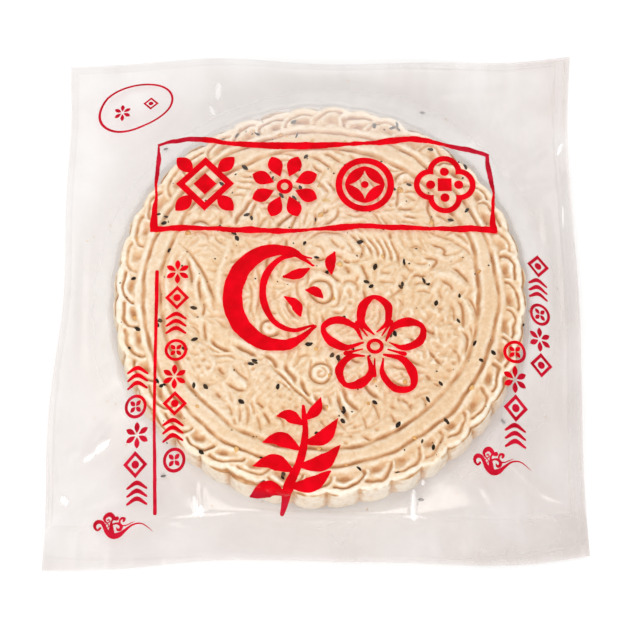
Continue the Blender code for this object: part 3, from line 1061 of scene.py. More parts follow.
def rim_and_rings(x, y, picture):
    """Height of the whole top below its highest plane: the picture, the rings round it and the scallops."""
    r = np.hypot(x, y)
    angle = np.arctan2(y, x) % (2 * math.pi)
    z = -0.55 + picture * (1 - smooth_step((r - 75.8) / 1.8))
    for k, (radius, height, half_width) in enumerate(RINGS):
        z = z + (height + 0.25) * bump(wavering(r, angle, k, 0.2) - radius, half_width)
    patchy = 1 + 0.36 * waves(x, y, 43, 7, 24)
    for k, (radius, depth, half_width) in enumerate(GROOVES):
        z = z - depth * patchy * bump(wavering(r, angle, k + 4, 0.28) - radius, half_width)
    beyond = r - RING_FOOT
    in_lobes = smooth_step((beyond + 0.3) / 0.9)
    z = z * (1 - in_lobes) + lobe_relief(angle, beyond.clip(0, 10.0)) * in_lobes
    # The top rounds off towards its edge, which follows the notches
    to_edge = beyond * (CAKE_RADIUS - RING_FOOT) / (rim_radius(angle) - RING_FOOT)
    z = z - 1.5 * np.clip((to_edge - 8.9) / 1.1, 0, 1.2) ** 2
    return z + 0.1 * waves(x, y, 44, 6, 14, 9) + 0.12 * waves(x, y, 42, 14, 40)


def blurred(field, sigma):
    """The field smoothed by a round bell of this size, in cells."""
    freq = np.fft.fftfreq(field.shape[0])
    window = np.exp(-2 * (math.pi * sigma) ** 2 * (freq[:, None] ** 2 + freq[None, :] ** 2))
    return np.real(np.fft.ifft2(np.fft.fft2(field) * window))


def sampled(relief, field, x, y):
    """Values of a grid field at any points."""
    col = np.clip((np.asarray(x) + relief.half) / relief.step, 0, len(relief.axis) - 1.001)
    row = np.clip((np.asarray(y) + relief.half) / relief.step, 0, len(relief.axis) - 1.001)
    c, r = col.astype(int), row.astype(int)
    across, up = col - c, row - r
    near = field[r, c] * (1 - across) + field[r, c + 1] * across
    far = field[r + 1, c] * (1 - across) + field[r + 1, c + 1] * across
    return near * (1 - up) + far * up


def painted_light_gradient(x, y):
    """Light and shade painted into the dough's colour: palest along the far side, darker towards the near
    right, where less light falls.
    """
    across = (0.75 * x - 0.65 * y) / 90
    return 0.04 * smooth_step(-across) - 0.17 * smooth_step(across) + 0.06 * smooth_step((y - 76) / 18)


def moulded_relief():
    """The whole top: the pressed picture, the rings and the scallops, uneven and crumbly as dough is."""
    relief = Relief()
    for figure in (left_leaf, plume, puffs, curls, fan, cloud_head, right_feathers):
        figure(relief)
    for figure in (round_body, tail, ribbon, scaled_body, middle_flower):
        figure(relief)
    filling(relief)
    dished = 0.55 * np.clip(1 - np.hypot(relief.x, relief.y) / 74, 0, 1) ** 0.7
    picture = relief.raised - relief.carved - relief.hollow + 0.12 - dished
    rim = smooth_step((np.hypot(relief.x, relief.y) - 86) / 6)
    coarse, fine = 0.34 + 0.34 * rim, 0.11 + 0.13 * rim
    x = relief.x + coarse * grains(relief, 45, 3.6) + fine * grains(relief, 46, 1.4)
    y = relief.y + coarse * grains(relief, 47, 3.6) + fine * grains(relief, 48, 1.4)
    whole = rim_and_rings(x, y, sampled(relief, picture, x, y))
    for seed, size, height in ((51, 0.42, 0.04), (52, 1.0, 0.055), (53, 2.6, 0.07)):
        whole = whole + height * grains(relief, seed, size)
    for seed, size, height in ((55, 0.9, 0.15), (56, 1.9, 0.14)):
        whole = whole + height * grains(relief, seed, size) * rim
    pits = 0.3 * np.clip(grains(relief, 54, 0.6) - 2.2, 0, 1)
    under_film = front_film(relief.x, relief.y) - 0.2 - RELIEF_PLANE
    whole = under_film - 0.12 * np.logaddexp(0, (under_film - whole + pits) / 0.12)
    relief.whole = whole
    # The cavity paints shade into the grooves and highlights onto the ridges, with the painted light gradient
    # added
    relief.cavity = 1.1 * (whole - blurred(whole, 1.3 / relief.step)) + painted_light_gradient(relief.x, relief.y)
    return relief


# ---------------------------------------------------------------- the cake
class Rings:
    """Closed rings of points, one after another, that become one mesh.

    Each point carries its cavity, which is below 0 in a groove and above 0 on a ridge, and which sets the
    painted shade and highlights in the dough's colour.
    """

    def __init__(self):
        self.points, self.counts, self.cavity, self.under = [], [], [], []

    def add(self, count, radius_of, height_of, is_under=0.0):
        """One more ring. radius_of gives its radius, and height_of its height and its cavity."""
        angle = 2 * math.pi * np.arange(count) / count
        r = radius_of(angle)
        x, y = r * np.cos(angle), r * np.sin(angle)
        z, cavity = height_of(x, y, angle)
        self.points.append(put(x, y, z))
        self.cavity.append(cavity + 0 * x)
        self.under.append(np.full(count, is_under))
        self.counts.append(count)

    def build(self, name, material, caps):
        """The mesh. caps holds (ring, height, faces up) for each end that closes on a point."""
        points = np.vstack(self.points)
        cavity, under = np.concatenate(self.cavity), np.concatenate(self.under)
        faces = ring_faces(self.counts)
        for ring, height, faces_up in caps:
            start = sum(self.counts[:ring])
            faces += cap_faces(start, self.counts[ring], len(points), flip=not faces_up)
            points = np.vstack([points, put(0.0, 0.0, height)[None]])
            cavity, under = np.append(cavity, 0.0), np.append(under, 0.0 if faces_up else 1.0)
        return add_object(name, points, faces, material, {"cavity": cavity, "underside": under})


def top_surface(relief):
    """The height and the cavity of the cake's top, as a function of the place."""
    def height_of(x, y, angle):
        return RELIEF_PLANE + sampled(relief, relief.whole, x, y), sampled(relief, relief.cavity, x, y)

    return height_of


def top_at(relief, x, y):
    """Height of the cake's top at one place."""
    return RELIEF_PLANE + float(sampled(relief, relief.whole, x, y))


def top_radius(base):
    """Radius of a ring on the top, as a function of the angle: round, and scalloped towards the rim."""
    share = max(0.0, (base - RING_FOOT) / (CAKE_RADIUS - RING_FOOT))
    return lambda angle: base + share * (rim_radius(angle) - CAKE_RADIUS)


def picture_mesh(relief, material):
    """The moulded picture, out to the bottom of the groove round it."""
    rings = Rings()
    on_top = top_surface(relief)
    for base in (*np.arange(0.5, PICTURE_EDGE - 0.3, PICTURE_SPACING), PICTURE_EDGE):
        rings.add(max(6, int(2 * math.pi * base / PICTURE_SPACING)), top_radius(base), on_top)
    return rings.build("cake_picture", material, [(0, top_at(relief, 0.0, 0.0), True)])


def wall_roughness(angle, t):
    """How far the wall stands out at this share of its height down: crumbly, with low lumps."""
    along, down = angle * CAKE_RADIUS, t * 22
    fine = 0.07 * waves(along, down, 54, 1.5, 3, 17) + 0.13 * waves(along, down, 51, 2.2, 5, 13)
    return fine + 0.2 * waves(along, down, 53, 5, 14, 9)


def wall_ring(t):
    """Radius and height of the fluted wall at this share of its height down, as functions of the place."""

    def radius_of(angle):
        _, along = lobe_cell(angle)
        cleft = 0.9 * bump(LOBE_LENGTH / 2 - np.abs(along), 0.8) * (1 - 0.4 * t)
        flute = LOBE_DEPTH * (1 - lobe_swell(angle)) * (1 - 0.15 * t) + cleft
        rough = wall_roughness(angle, t) + 0.28 * waves(angle * 100, t * 30, 52, 20, 60)
        turned_in = 1.5 * smooth_step((t - 0.86) / 0.14) ** 2
        return CAKE_RADIUS + 0.35 + WALL_SPREAD * t**0.8 - flute + rough - turned_in

    def height_of(x, y, angle):
        notch = 1 - lobe_swell(angle)
        height = WALL_TOP + (CAKE_FOOT - WALL_TOP) * t - 0.25 * notch * (1 - t)
        # The wall's cavity paints shade into the notches between the scallops and the hollows between its
        # lumps, and highlights onto the lumps
        return height, 0.72 - 1.4 * notch**2 + 1.3 * wall_roughness(angle, t)

    return radius_of, height_of


def base_height(x, y, angle):
    """Height and cavity of the cake's underside."""
    return CAKE_FOOT + 0.02 + 0.1 * (1 + waves(x, y, 61, 9, 30)), 0.1 * waves(x, y, 62, 3, 9)


def rim_mesh(relief, material):
    """The rest of the cake: the rings and scallops, the fluted wall and the base."""
    finest = 30 * LOBES
    rings = Rings()
    on_top = top_surface(relief)
    for base in np.linspace(PICTURE_EDGE, RING_FOOT - 0.5, 24):
        rings.add(finest // 2, top_radius(base), on_top)
    for base in np.linspace(RING_FOOT, CAKE_RADIUS, 21):
        rings.add(finest, top_radius(base), on_top)
    for k in range(1, WALL_STEPS + 1):
        rings.add(finest // (1 if k < 15 else 2), *wall_ring(k / WALL_STEPS))
    for radius, count in BASE_RINGS:
        rings.add(count, lambda angle, radius=radius: radius + 0 * angle, base_height, 1.0)
    return rings.build("cake_rim", material, [(len(rings.counts) - 1, CAKE_FOOT + 0.1, False)])


# ---------------------------------------------------------------- seeds and crumbs
def seed_shape():
    """A flat drop 1 long along x with a blunt point, as rings of points: a seed, or a small bit of one."""
    rings = [(-0.5, 0.02), (-0.42, 0.15), (-0.22, 0.26), (0.05, 0.30), (0.28, 0.22), (0.44, 0.1), (0.5, 0.02)]
    around = 8
    points, faces = [], []
    for x, half in rings:
        for k in range(around):
            turn = 2 * math.pi * k / around
            points.append((x, half * math.cos(turn), 0.5 * half * math.sin(turn)))
    for ring in range(len(rings) - 1):
        for k in range(around):
            a, b = ring * around + k, ring * around + (k + 1) % around
            faces.append((a, b, b + around, a + around))
    faces.append(tuple(range(around))[::-1])
    faces.append(tuple(range((len(rings) - 1) * around, len(rings) * around)))
    return np.array(points), faces


def turned(points, roll, pitch, yaw):
    """Points turned about x, then y, then z."""
    cx, sx, cy, sy, cz, sz = (f(v) for v in (roll, pitch, yaw) for f in (math.cos, math.sin))
    rx = np.array([[1, 0, 0], [0, cx, -sx], [0, sx, cx]])
    ry = np.array([[cy, 0, sy], [0, 1, 0], [-sy, 0, cy]])
    rz = np.array([[cz, -sz, 0], [sz, cz, 0], [0, 0, 1]])
    return points @ (rz @ ry @ rx).T


def scatter(name, places, material):
    """One mesh of many small drops. places holds (x, y, z, length, width factor, roll, pitch, yaw)."""
    base, base_faces = seed_shape()
    points, faces, tone = [], [], []
    for k, (x, y, z, length, width, roll, pitch, yaw) in enumerate(places):
        body = turned(base * (length, length * width, length * width), roll, pitch, yaw)
        start = k * len(base)
        points.append(put(body[:, 0] + x, body[:, 1] + y, body[:, 2] + z))
        faces += [tuple(i + start for i in face) for face in base_faces]
        tone.append(np.full(len(base), RANDOM.random()))
    return add_object(name, np.vstack(points), faces, material, {"tone": np.concatenate(tone)})


def random_spot(radius):
    """A place within this radius of the cake's centre."""
    r, turn = radius * math.sqrt(RANDOM.random()), RANDOM.uniform(0, 2 * math.pi)
    return r * math.cos(turn), r * math.sin(turn)


def seed_places(relief):
    """Where the seeds lie on the cake: mostly alone, a few in small groups."""
    spots = []
    while len(spots) < 118:
        x, y = random_spot(99.0)
        if spots and min(math.hypot(x - a, y - b) for a, b in spots) < 5.0:
            continue
        spots.append((x, y))
        if RANDOM.random() < 0.22:
            for _ in range(RANDOM.integers(1, 3)):
                away = RANDOM.uniform(1.8, 3.4)
                heading = RANDOM.uniform(0, 2 * math.pi)
                spots.append((x + away * math.cos(heading), y + away * math.sin(heading)))
    places = []
    for x, y in spots:
        r = math.hypot(x, y)
        if r > 99.3:
            x, y = x * 99.3 / r, y * 99.3 / r
        length = RANDOM.uniform(3.0, 3.8)
        z = min(top_at(relief, x, y) + RANDOM.uniform(-0.05, 0.3), FILM_TOP - 1.0)
        roll, pitch, width = RANDOM.normal(0, 0.35), RANDOM.normal(0, 0.22), RANDOM.uniform(0.75, 1.12)
        places.append((x, y, z, length, width, roll, pitch, RANDOM.uniform(0, 2 * math.pi)))
    return places


def wall_seed_places():
    """Where seeds stick to the wall."""
    places = []
    for _ in range(16):
        turn = RANDOM.uniform(0, 2 * math.pi)
        t = RANDOM.uniform(0.1, 0.85)
        r = rim_radius(turn) + 0.35 + WALL_SPREAD * t
        z = WALL_TOP + (CAKE_FOOT - WALL_TOP) * t
        length, roll = RANDOM.uniform(2.6, 3.3), RANDOM.uniform(0, 1)
        places.append((r * math.cos(turn), r * math.sin(turn), z, length, 1.0, roll, 1.3, turn))
    return places


def fragment_places(relief):
    """Small dark bits of seed all over the top, most of them near a seed's size or less."""
    places = []
    for _ in range(110):
        x, y = random_spot(99.0)
        size = RANDOM.uniform(0.6, 1.4)
        z = min(top_at(relief, x, y), FILM_TOP - 0.9)
        roll, pitch = RANDOM.normal(0, 0.6), RANDOM.normal(0, 0.4)
        places.append((x, y, z, size, 1.3, roll, pitch, RANDOM.uniform(0, 6.28)))
    return places


def toasted_places(relief):
    """A few golden bits of toasted nut, sunk in the top."""
    places = []
    for _ in range(34):
        x, y = random_spot(96.0)
        size = RANDOM.uniform(1.8, 3.8)
        z = top_at(relief, x, y) - 0.04 * size
        places.append((x, y, z, size, 1.4, RANDOM.normal(0, 0.2), 0.0, RANDOM.uniform(0, 6.28)))
    return places


def loose_places(count, nearest, farthest, sizes):
    """Bits that came off and lie on the back film beside the cake."""
    places = []
    for _ in range(count):
        turn = RANDOM.uniform(0, 2 * math.pi)
        r = RANDOM.uniform(nearest, farthest)
        x, y = r * math.cos(turn), r * math.sin(turn)
        if seal_share(x, y)[0] > 0.97:
            continue
        size = RANDOM.uniform(*sizes)
        z = float(back_film(x, y)) + 0.15 + 0.2 * size
        places.append((x, y, z, size, 0.85, RANDOM.uniform(-0.2, 0.2), 0.0, RANDOM.uniform(0, 6.28)))
    return places


# ---------------------------------------------------------------- the print
def ellipse(centre, radii, heading=0.0, count=48, start=0.0, end=360.0):
    """Points round an ellipse, or along the arc between two angles in degrees."""
    turn = np.radians(np.linspace(start, end, count, endpoint=end - start < 360))
    c, s = math.cos(math.radians(heading)), math.sin(math.radians(heading))
    u, v = radii[0] * np.cos(turn), radii[1] * np.sin(turn)
    return np.stack([centre[0] + u * c - v * s, centre[1] + u * s + v * c], 1)


def circle(centre, radius, count=48):
    """Points round a circle. Four of them make a lozenge."""
    return ellipse(centre, (radius, radius), 0.0, count)


def beside(centre, distance, heading):
    """The point at this distance from another, in a direction in degrees."""
    turn = math.radians(heading)
    return centre[0] + distance * math.cos(turn), centre[1] + distance * math.sin(turn)


def brush(points, widths, wobble=0.0, seed=0, rounded=True):
    """The outline of one brush stroke: its middle line, and its full width at even steps along it."""
    line = curve(points, 0.9)
    t = np.linspace(0, 1, len(line))
    width = np.interp(t, np.linspace(0, 1, len(widths)), widths)
    tangent = np.gradient(line, axis=0)
    tangent /= np.maximum(np.hypot(*tangent.T), 1e-9)[:, None]
    normal = np.stack([-tangent[:, 1], tangent[:, 0]], 1)
    rng = np.random.default_rng(seed)
    rough = [np.convolve(rng.normal(0, 1, len(line) + 4), np.ones(5) / 5, "valid") * wobble for _ in range(2)]
    left = line + normal * (width / 2 + rough[0])[:, None]
    right = line - normal * (width / 2 + rough[1])[:, None]
    if not rounded:
        return np.vstack([left, right[::-1]])
    ends = []
    for point, w, towards in ((line[-1], width[-1], tangent[-1]), (line[0], width[0], -tangent[0])):
        side = np.array([-towards[1], towards[0]])
        turn = np.radians(np.linspace(90, -90, 7)[1:-1])
        ends.append(point + w / 2 * (np.outer(np.cos(turn), towards) + np.outer(np.sin(turn), side)))
    return np.vstack([left, ends[0], right[::-1], ends[1]])


def stroke(points, widths, wobble=0.0, seed=0, rounded=True):
    """A brush stroke as one patch of ink."""
    return [(brush(points, widths, wobble, seed, rounded), True)]


def petal(centre, heading, inner, outer, width, point=1.0):
    """A drop that points away from the centre."""
    t = np.linspace(0, 1, 14)
    half = width / 2 * np.sin(math.pi * t**point) ** 0.8
    along = inner + (outer - inner) * t
    loop = np.vstack([np.stack([along, half], 1), np.stack([along, -half], 1)[::-1][1:-1]])
    c, s = math.cos(math.radians(heading)), math.sin(math.radians(heading))
    return loop @ np.array([[c, s], [-s, c]]) + np.array(centre)


def inside_loop(points, loop):
    """Which points lie inside a closed outline."""
    x, y = points[:, 0][:, None], points[:, 1][:, None]
    x0, y0 = loop[:, 0], loop[:, 1]
    x1, y1 = np.roll(x0, -1), np.roll(y0, -1)
    crosses = (y0 > y) != (y1 > y)
    with np.errstate(divide="ignore", invalid="ignore"):
        at = x0 + (y - y0) * (x1 - x0) / (y1 - y0)
    return (crosses & (x < at)).sum(1) % 2 == 1


def ink_patch(loops):
    """Triangles of one printed shape. loops holds (outline, inked), where a later one overrides."""
    points, edges = [], []
    for loop, _ in loops:
        start = len(points)
        points += [Vector(p) for p in loop]
        edges += [(start + k, start + (k + 1) % len(loop)) for k in range(len(loop))]
    corners = np.vstack([loop for loop, _ in loops])
    low, high = corners.min(0), corners.max(0)
    across, up = (np.arange(start, end, INK_SPACING) for start, end in zip(low, high))
    grid = np.stack(np.meshgrid(across, up), -1).reshape(-1, 2)
    points += [Vector(p) for p in grid]
    found, _, faces, *_ = delaunay_2d_cdt(points, edges, [], 0, 1e-4, False)
    found = np.array([tuple(p) for p in found])
    faces = np.array([f for f in faces if len(f) == 3])
    middles = found[faces].mean(1)
    inked = np.zeros(len(faces), bool)
    for loop, is_ink in loops:
        inked[inside_loop(middles, loop)] = is_ink
    faces = faces[inked]
    used, faces = np.unique(faces, return_inverse=True)
    return found[used], faces.reshape(-1, 3)


def print_piece(name, patches, material):
    """Printed shapes as one mesh that lies on the front film."""
    points, faces, start = [], [], 0
    for loops in patches:
        found, triangles = ink_patch(loops)
        points.append(found)
        faces += (triangles + start).tolist()
        start += len(found)
    xy = np.vstack(points)
    z = front_film(xy[:, 0], xy[:, 1])
    backed = 1 - smooth_step((np.hypot(xy[:, 0], xy[:, 1]) - CAKE_RADIUS) / 3)
    place = put(xy[:, 0], xy[:, 1], z + INK_LIFT)
    obj = add_object(name, place, faces, material, {"backed": backed})
    obj.visible_shadow = False  # the thin ink lets light through


def frame_print():
    """The hand-drawn frame: four brush lines whose width changes as they go."""
    top = [(-81.6, 81), (-75, 82.1), (-66, 82.8), (-58, 81.6), (-50, 80), (-40, 78.9), (-15, 78), (8, 78.6)]
    top += [(20, 79.1), (30, 79.8), (40, 81.2), (48, 81.5), (56, 80.2), (66, 78), (75, 77.2), (84.8, 75.2)]
    right = [(83.9, 76), (84.2, 68), (85.3, 59), (85.9, 51), (85.0, 42), (85.4, 31.6)]
    bottom = [(87, 32.7), (76, 33.6), (66, 33.2), (44, 34), (22, 34.9), (12, 34.2), (-2, 33.3)]
    bottom += [(-18, 32.3), (-30, 32.9), (-44, 33.1), (-58, 33.9), (-70, 34), (-83.4, 33.2)]
    left = [(-81.6, 31.9), (-81.6, 42), (-80.9, 49), (-81.3, 57), (-80.9, 66), (-80.6, 74), (-80.9, 81.4)]
    lines = (
        (top, (1.6, 3.0, 3.4, 2.4, 3.4, 3.8, 3.6, 3.4, 1.8, 2.6, 3.6, 3.0, 2.4, 3.0, 2.2)),
        (right, (1.8, 2.6, 2.8, 1.8, 1.6, 2.6, 3.8)),
        (bottom, (3.2, 3.6, 2.2, 3.0, 2.4, 3.8, 1.6, 3.0, 3.2, 2.2, 3.4, 2.6)),
        (left, (3.8, 3.4, 1.7, 1.4, 2.4, 2.2, 1.4)),
    )
    return [stroke(points, widths, 0.35, 3 + k, rounded=False) for k, (points, widths) in enumerate(lines)]


def lattice_mark(centre, size):
    """A lozenge ring with a lozenge in it and a petal at each corner."""
    loops = [(circle(centre, 0.5 * size, 4), True), (circle(centre, 0.34 * size, 4), False)]
    loops.append((circle(centre, 0.2 * size, 4), True))
    loops += [(petal(centre, 45 + 90 * k, 0.31 * size, 0.7 * size, 0.25 * size), True) for k in range(4)]
    return loops


def rosette_mark(centre, size):
    """Eight petals round a ring."""
    inner, outer, width = 0.18 * size, 0.56 * size, 0.24 * size
    loops = [(petal(centre, 45 * k + 22.5, inner, outer, width, 1.3), True) for k in range(8)]
    loops += [(circle(centre, 0.13 * size), True), (circle(centre, 0.06 * size, 16), False)]
    return loops


def coin_mark(centre, size):
    """A ring that holds four long petals end to end."""
    loops = [(circle(centre, 0.52 * size), True), (circle(centre, 0.4 * size), False)]
    for k in range(4):
        middle = beside(centre, 0.24 * size, 90 * k + 45)
        loops.append((petal(middle, 90 * k + 135, -0.26 * size, 0.26 * size, 0.2 * size), True))
    loops.append((circle(centre, 0.07 * size, 16), True))
    return loops


def quatrefoil_mark(centre, size):
    """Four round lobes joined into one band, with a star of dots in them."""
    spots = [beside(centre, 0.24 * size, 90 * k) for k in range(4)]
    loops = [(circle(spot, 0.29 * size), True) for spot in spots]
    loops += [(circle(spot, 0.19 * size), False) for spot in spots]
    loops += [(ellipse(centre, (0.17 * size, 0.17 * size), 45, 4), True)]
    loops += [(circle(spot, 0.08 * size, 16), True) for spot in spots]
    return loops


def ornament_print():
    """Four square ornaments in the frame."""
    return [
        lattice_mark((-57, 57.5), 29),
        rosette_mark((-17.5, 56), 31),
        coin_mark((22.2, 57), 28),
        quatrefoil_mark((61.8, 57), 29),
    ]


def crescent_print():
    """A crescent in two brush strokes, thick outside and thin inside, with drops of ink in its hollow."""
    outer = ellipse((-20, -2), (22.5, 24.5), 0, 9, 42, 322)
    inner = ellipse((-11.5, 0.5), (16.5, 19.5), 0, 8, 64, 300)
    patches = [
        stroke(outer, (1.4, 4.6, 7.6, 9.4, 9.8, 9.0, 7.6, 5.0, 1.6), 0.35, 21),
        stroke(inner, (1.0, 2.6, 3.4, 3.6, 3.0, 2.4, 1.0), 0.25, 22),
    ]
    drops = (
        ([(-17.5, 8.5), (-11, 9.8), (-5.4, 12.6)], (1.6, 4.8, 5.2, 1.2)),
        ([(-17, -2), (-12, -5.4), (-9.6, -11.4)], (1.2, 4.4, 5.6, 1.4)),
        ([(-6.6, 1.6), (-2.6, 1.0), (1.2, -2.4)], (1.2, 4.8, 4.4, 1.0)),
        ([(7, 21), (5, 16), (5.6, 10)], (1.4, 5.4, 4.6, 1.0)),
    )
    patches += [stroke(points, widths, 0.25, 23 + k) for k, (points, widths) in enumerate(drops)]
    return patches


def blossom_print():
    """A blossom of five petals, each one loop of the brush, with stamens between them."""
    centre = np.array([26.5, -27.0])
    patches = []
    for k, (length, width) in enumerate(((25, 9.0), (26.5, 8.2), (24, 9.2), (27, 8.6), (25, 8.2))):
        turn = math.radians(90 + 72 * k + 4 * math.sin(5 * k))
        out, side = np.array([math.cos(turn), math.sin(turn)]), np.array([-math.sin(turn), math.cos(turn)])
        loop = [(6, 0.5), (0.5 * length, 0.72 * width), (0.82 * length, 0.62 * width), (length, 0.4)]
        loop += [(0.84 * length, -0.66 * width), (0.5 * length, -0.7 * width), (7.2, -1.0)]
        line = [centre + out * a + side * b for a, b in loop]
        patches.append(stroke(line, (1.0, 3.2, 5.0, 2.4, 4.2, 3.0, 0.9), 0.3, 31 + k))
        turn += math.radians(36)
        out = np.array([math.cos(turn), math.sin(turn)])
        stamen = [centre + out * distance for distance in (6.4, 10, 14.6)]
        patches.append(stroke(stamen, (0.8, 1.3, 2.4), 0.12, 41 + k))
    patches.append([(ellipse(centre, (4.2, 3.9)), True), (ellipse(centre, (2.3, 2.0)), False)])
    return patches


def sprig_print():
    """A sprig: a bent stem and leaves on both sides, each one stroke of the brush."""
    stem = [(-18, -106), (-14, -94), (-9, -82), (-7, -70), (-8, -57)]
    patches = [stroke(stem, (2.0, 5.0, 4.2, 3.6, 3.0, 1.6), 0.3, 11)]
    leaves = (
        ([(-16.5, -99), (-24, -96.4), (-33, -99)], 7.0),
        ([(-14.5, -96), (-4, -95), (5, -88.5)], 7.6),
        ([(-12, -89), (-22, -84), (-31.5, -86)], 7.6),
        ([(-10.5, -86), (1, -84.6), (9.5, -76)], 7.8),
        ([(-9.4, -78), (-19, -73), (-27, -74.6)], 7.2),
        ([(-8, -75), (2, -72), (8.5, -63)], 7.2),
        ([(-7.8, -66), (-15, -61.4), (-20.5, -61.8)], 6.0),
        ([(-7.6, -63.5), (-2, -59), (0.5, -52.6)], 5.8),
    )
    for k, (line, width) in enumerate(leaves):
        widths = (1.2, 0.62 * width, width, 0.94 * width, 0.55 * width, 0.5)
        patches.append(stroke(line, widths, 0.25, 12 + k))
    return patches


def star_mark(centre, size):
    """Six petals."""
    inner, outer, width = 0.08 * size, 0.56 * size, 0.24 * size
    return [(petal(centre, 60 * k + 30, inner, outer, width, 1.2), True) for k in range(6)]


def lozenge_mark(centre, size):
    """A lozenge ring with a dot in it."""
    loops = [(ellipse(centre, (0.54 * size, 0.56 * size), 0, 4), True)]
    loops += [(ellipse(centre, (0.34 * size, 0.36 * size), 0, 4), False)]
    loops += [(circle(centre, 0.17 * size, 16), True)]
    return loops


def chevron_mark(centre, size):
    """Three chevrons, one over another."""
    loops = []
    for k in range(3):
        y = centre[1] + (k - 1) * 0.33 * size
        left, right = centre[0] - 0.42 * size, centre[0] + 0.42 * size
        line = [(left, y - 0.1 * size), (centre[0], y + 0.13 * size), (right, y - 0.1 * size)]
        loops.append((brush(line, (0.1 * size, 0.21 * size, 0.1 * size)), True))
    return loops


def button_mark(centre, size):
    """A ring with four petals in it."""
    loops = [(circle(centre, 0.5 * size, 32), True), (circle(centre, 0.36 * size, 32), False)]
    loops += [(petal(centre, 90 * k + 45, 0.03 * size, 0.33 * size, 0.19 * size), True) for k in range(4)]
    return loops


def column_print():
    """Four columns of small marks, and the long line between the two on the left."""
    marks = (star_mark, lozenge_mark, chevron_mark, button_mark)
    patches = []
    columns = (  # x, y of the highest mark, pitch down, how many, their size, which comes first
        (-69.4, 11.0, -13.3, 8, 11.0, 0),
        (-87.6, -43.0, -13.3, 5, 11.0, 2),
        (107.0, 16.6, -12.6, 5, 10.8, 1),
        (93.6, -29.8, -13.2, 4, 11.4, 3),
    )
    for x, y, pitch, count, size, first in columns:
        for k in range(count):
            centre = (x + 0.4 * math.sin(3 * k + first), y + pitch * k)
            patches.append(marks[(first + k) % len(marks)](centre, size))
    patches.append(stroke([(-79.4, 11), (-79.0, -40), (-78.4, -105.5)], (1.9, 1.6, 1.5, 1.9), 0.1, 17))
    return patches


def cloud_print(place, size):
    """A traditional rolled cloud: a hooked belly that runs out into a long tail, with volutes on it."""
    belly = [(-6.9, -0.8), (-8.2, -2.0), (-9.6, -0.4), (-9.5, 1.6), (-8.1, 2.8), (-6.2, 2.4), (-4.9, 0.3)]
    belly += [(-3.8, -2.3), (-2.1, -4.4), (0.3, -5.4), (3.0, -4.6), (5.7, -2.3), (8.6, 0.1), (11.5, 1.2)]
    belly += [(14.1, 1.0), (16.6, -0.6), (19.4, -3.2)]
    strokes = (
        (belly, (1.3, 1.0, 1.7, 2.2, 2.0, 1.9, 2.5, 3.2, 2.7, 1.7, 1.2, 0.9, 0.75, 0.6, 0.45, 0.2)),
        (
            [(-4.2, 2.5), (-5.0, 4.4), (-3.8, 6.2), (-1.9, 6.7), (-0.6, 5.4), (0.3, 4.2), (1.4, 4.4)],
            (0.9, 1.6, 2.2, 2.4, 2.2, 1.7, 2.2),
        ),
        ([(-4.2, 2.5), (-3.1, 2.0), (-2.2, 2.9), (-2.7, 3.9), (-3.3, 3.5)], (0.7, 0.6, 0.6, 0.7, 0.8)),
        ([(-0.4, 4.2), (-1.3, 2.9), (-1.4, 1.2), (-1.3, -1.2), (-1.1, -3.8)], (1.2, 1.0, 1.5, 2.4, 3.0)),
        ([(-4.6, 0.9), (-3.3, 1.5), (-2.6, 0.6), (-3.0, -0.4)], (0.6, 0.5, 0.5, 0.6)),
        (
            [(-1.2, 0.7), (0.8, 1.6), (2.8, 1.2), (3.8, -0.4), (3.1, -1.9), (1.9, -2.0), (1.5, -1.0)],
            (0.9, 1.0, 1.5, 1.8, 1.7, 1.3, 0.7),
        ),
        ([(3.1, 0.6), (2.8, 3.0), (3.8, 4.4), (5.2, 4.0), (4.8, 2.8)], (0.9, 1.0, 1.3, 1.7, 1.2)),
        ([(4.2, 0.2), (6.0, 0.3), (7.9, 1.2), (10.3, 2.3)], (0.8, 0.65, 0.5, 0.25)),
    )
    patches = []
    for points, widths in strokes:
        placed = [(place[0] + size * px, place[1] + 0.9 * size * py) for px, py in points]
        patches.append(stroke(placed, [w * size for w in widths]))
    return patches


def oval_print():
    """A hand-drawn slanting oval with a small flower and a small lozenge in it."""
    centre = (-94.4, 106.6)
    inside = (centre[0] + 0.1, centre[1] + 0.05)
    oval = [(ellipse(centre, (20.1, 14.0), 23, 72), True), (ellipse(inside, (18.8, 12.85), 23, 72), False)]
    return [oval, star_mark((-101.0, 103.0), 8.4), lozenge_mark((-86.6, 108.4), 7.4)]


# ---------------------------------------------------------------- materials
def new_material(name, colour, roughness, **sockets):
    """A material, its node tree and its shader, whose other sockets are set by name."""
    material = bpy.data.materials.new(name)
    material.use_nodes = True
    shader = material.node_tree.nodes["Principled BSDF"]
    shader.inputs["Base Color"].default_value = (*colour, 1)
    shader.inputs["Roughness"].default_value = roughness
    for key, value in sockets.items():
        shader.inputs[key.replace("_", " ")].default_value = value
    return material, material.node_tree, shader


def node(tree, kind, **settings):
    made = tree.nodes.new(kind)
    for key, value in settings.items():
        setattr(made, key, value)
    return made


def noise(tree, scale, detail):
    """Noise that is fixed to the object's own space."""
    coordinates = node(tree, "ShaderNodeTexCoord")
    made = node(tree, "ShaderNodeTexNoise")
    made.inputs["Scale"].default_value = scale
    made.inputs["Detail"].default_value = detail
    made.inputs["Roughness"].default_value = 0.55
    tree.links.new(coordinates.outputs["Object"], made.inputs["Vector"])
    return made.outputs["Fac"]


def ramp(tree, value, stops):
    """A colour by a value. stops holds (value, colour)."""
    made = node(tree, "ShaderNodeValToRGB")
    elements = made.color_ramp.elements
    while len(elements) < len(stops):
        elements.new(0.5)
    for element, (position, colour) in zip(elements, stops):
        element.position = position
        element.color = (*colour, 1)
    tree.links.new(value, made.inputs["Fac"])
    return made.outputs["Color"]


def attribute(tree, name):
    """The number that each point of the mesh carries under this name."""
    return node(tree, "ShaderNodeAttribute", attribute_name=name).outputs["Fac"]


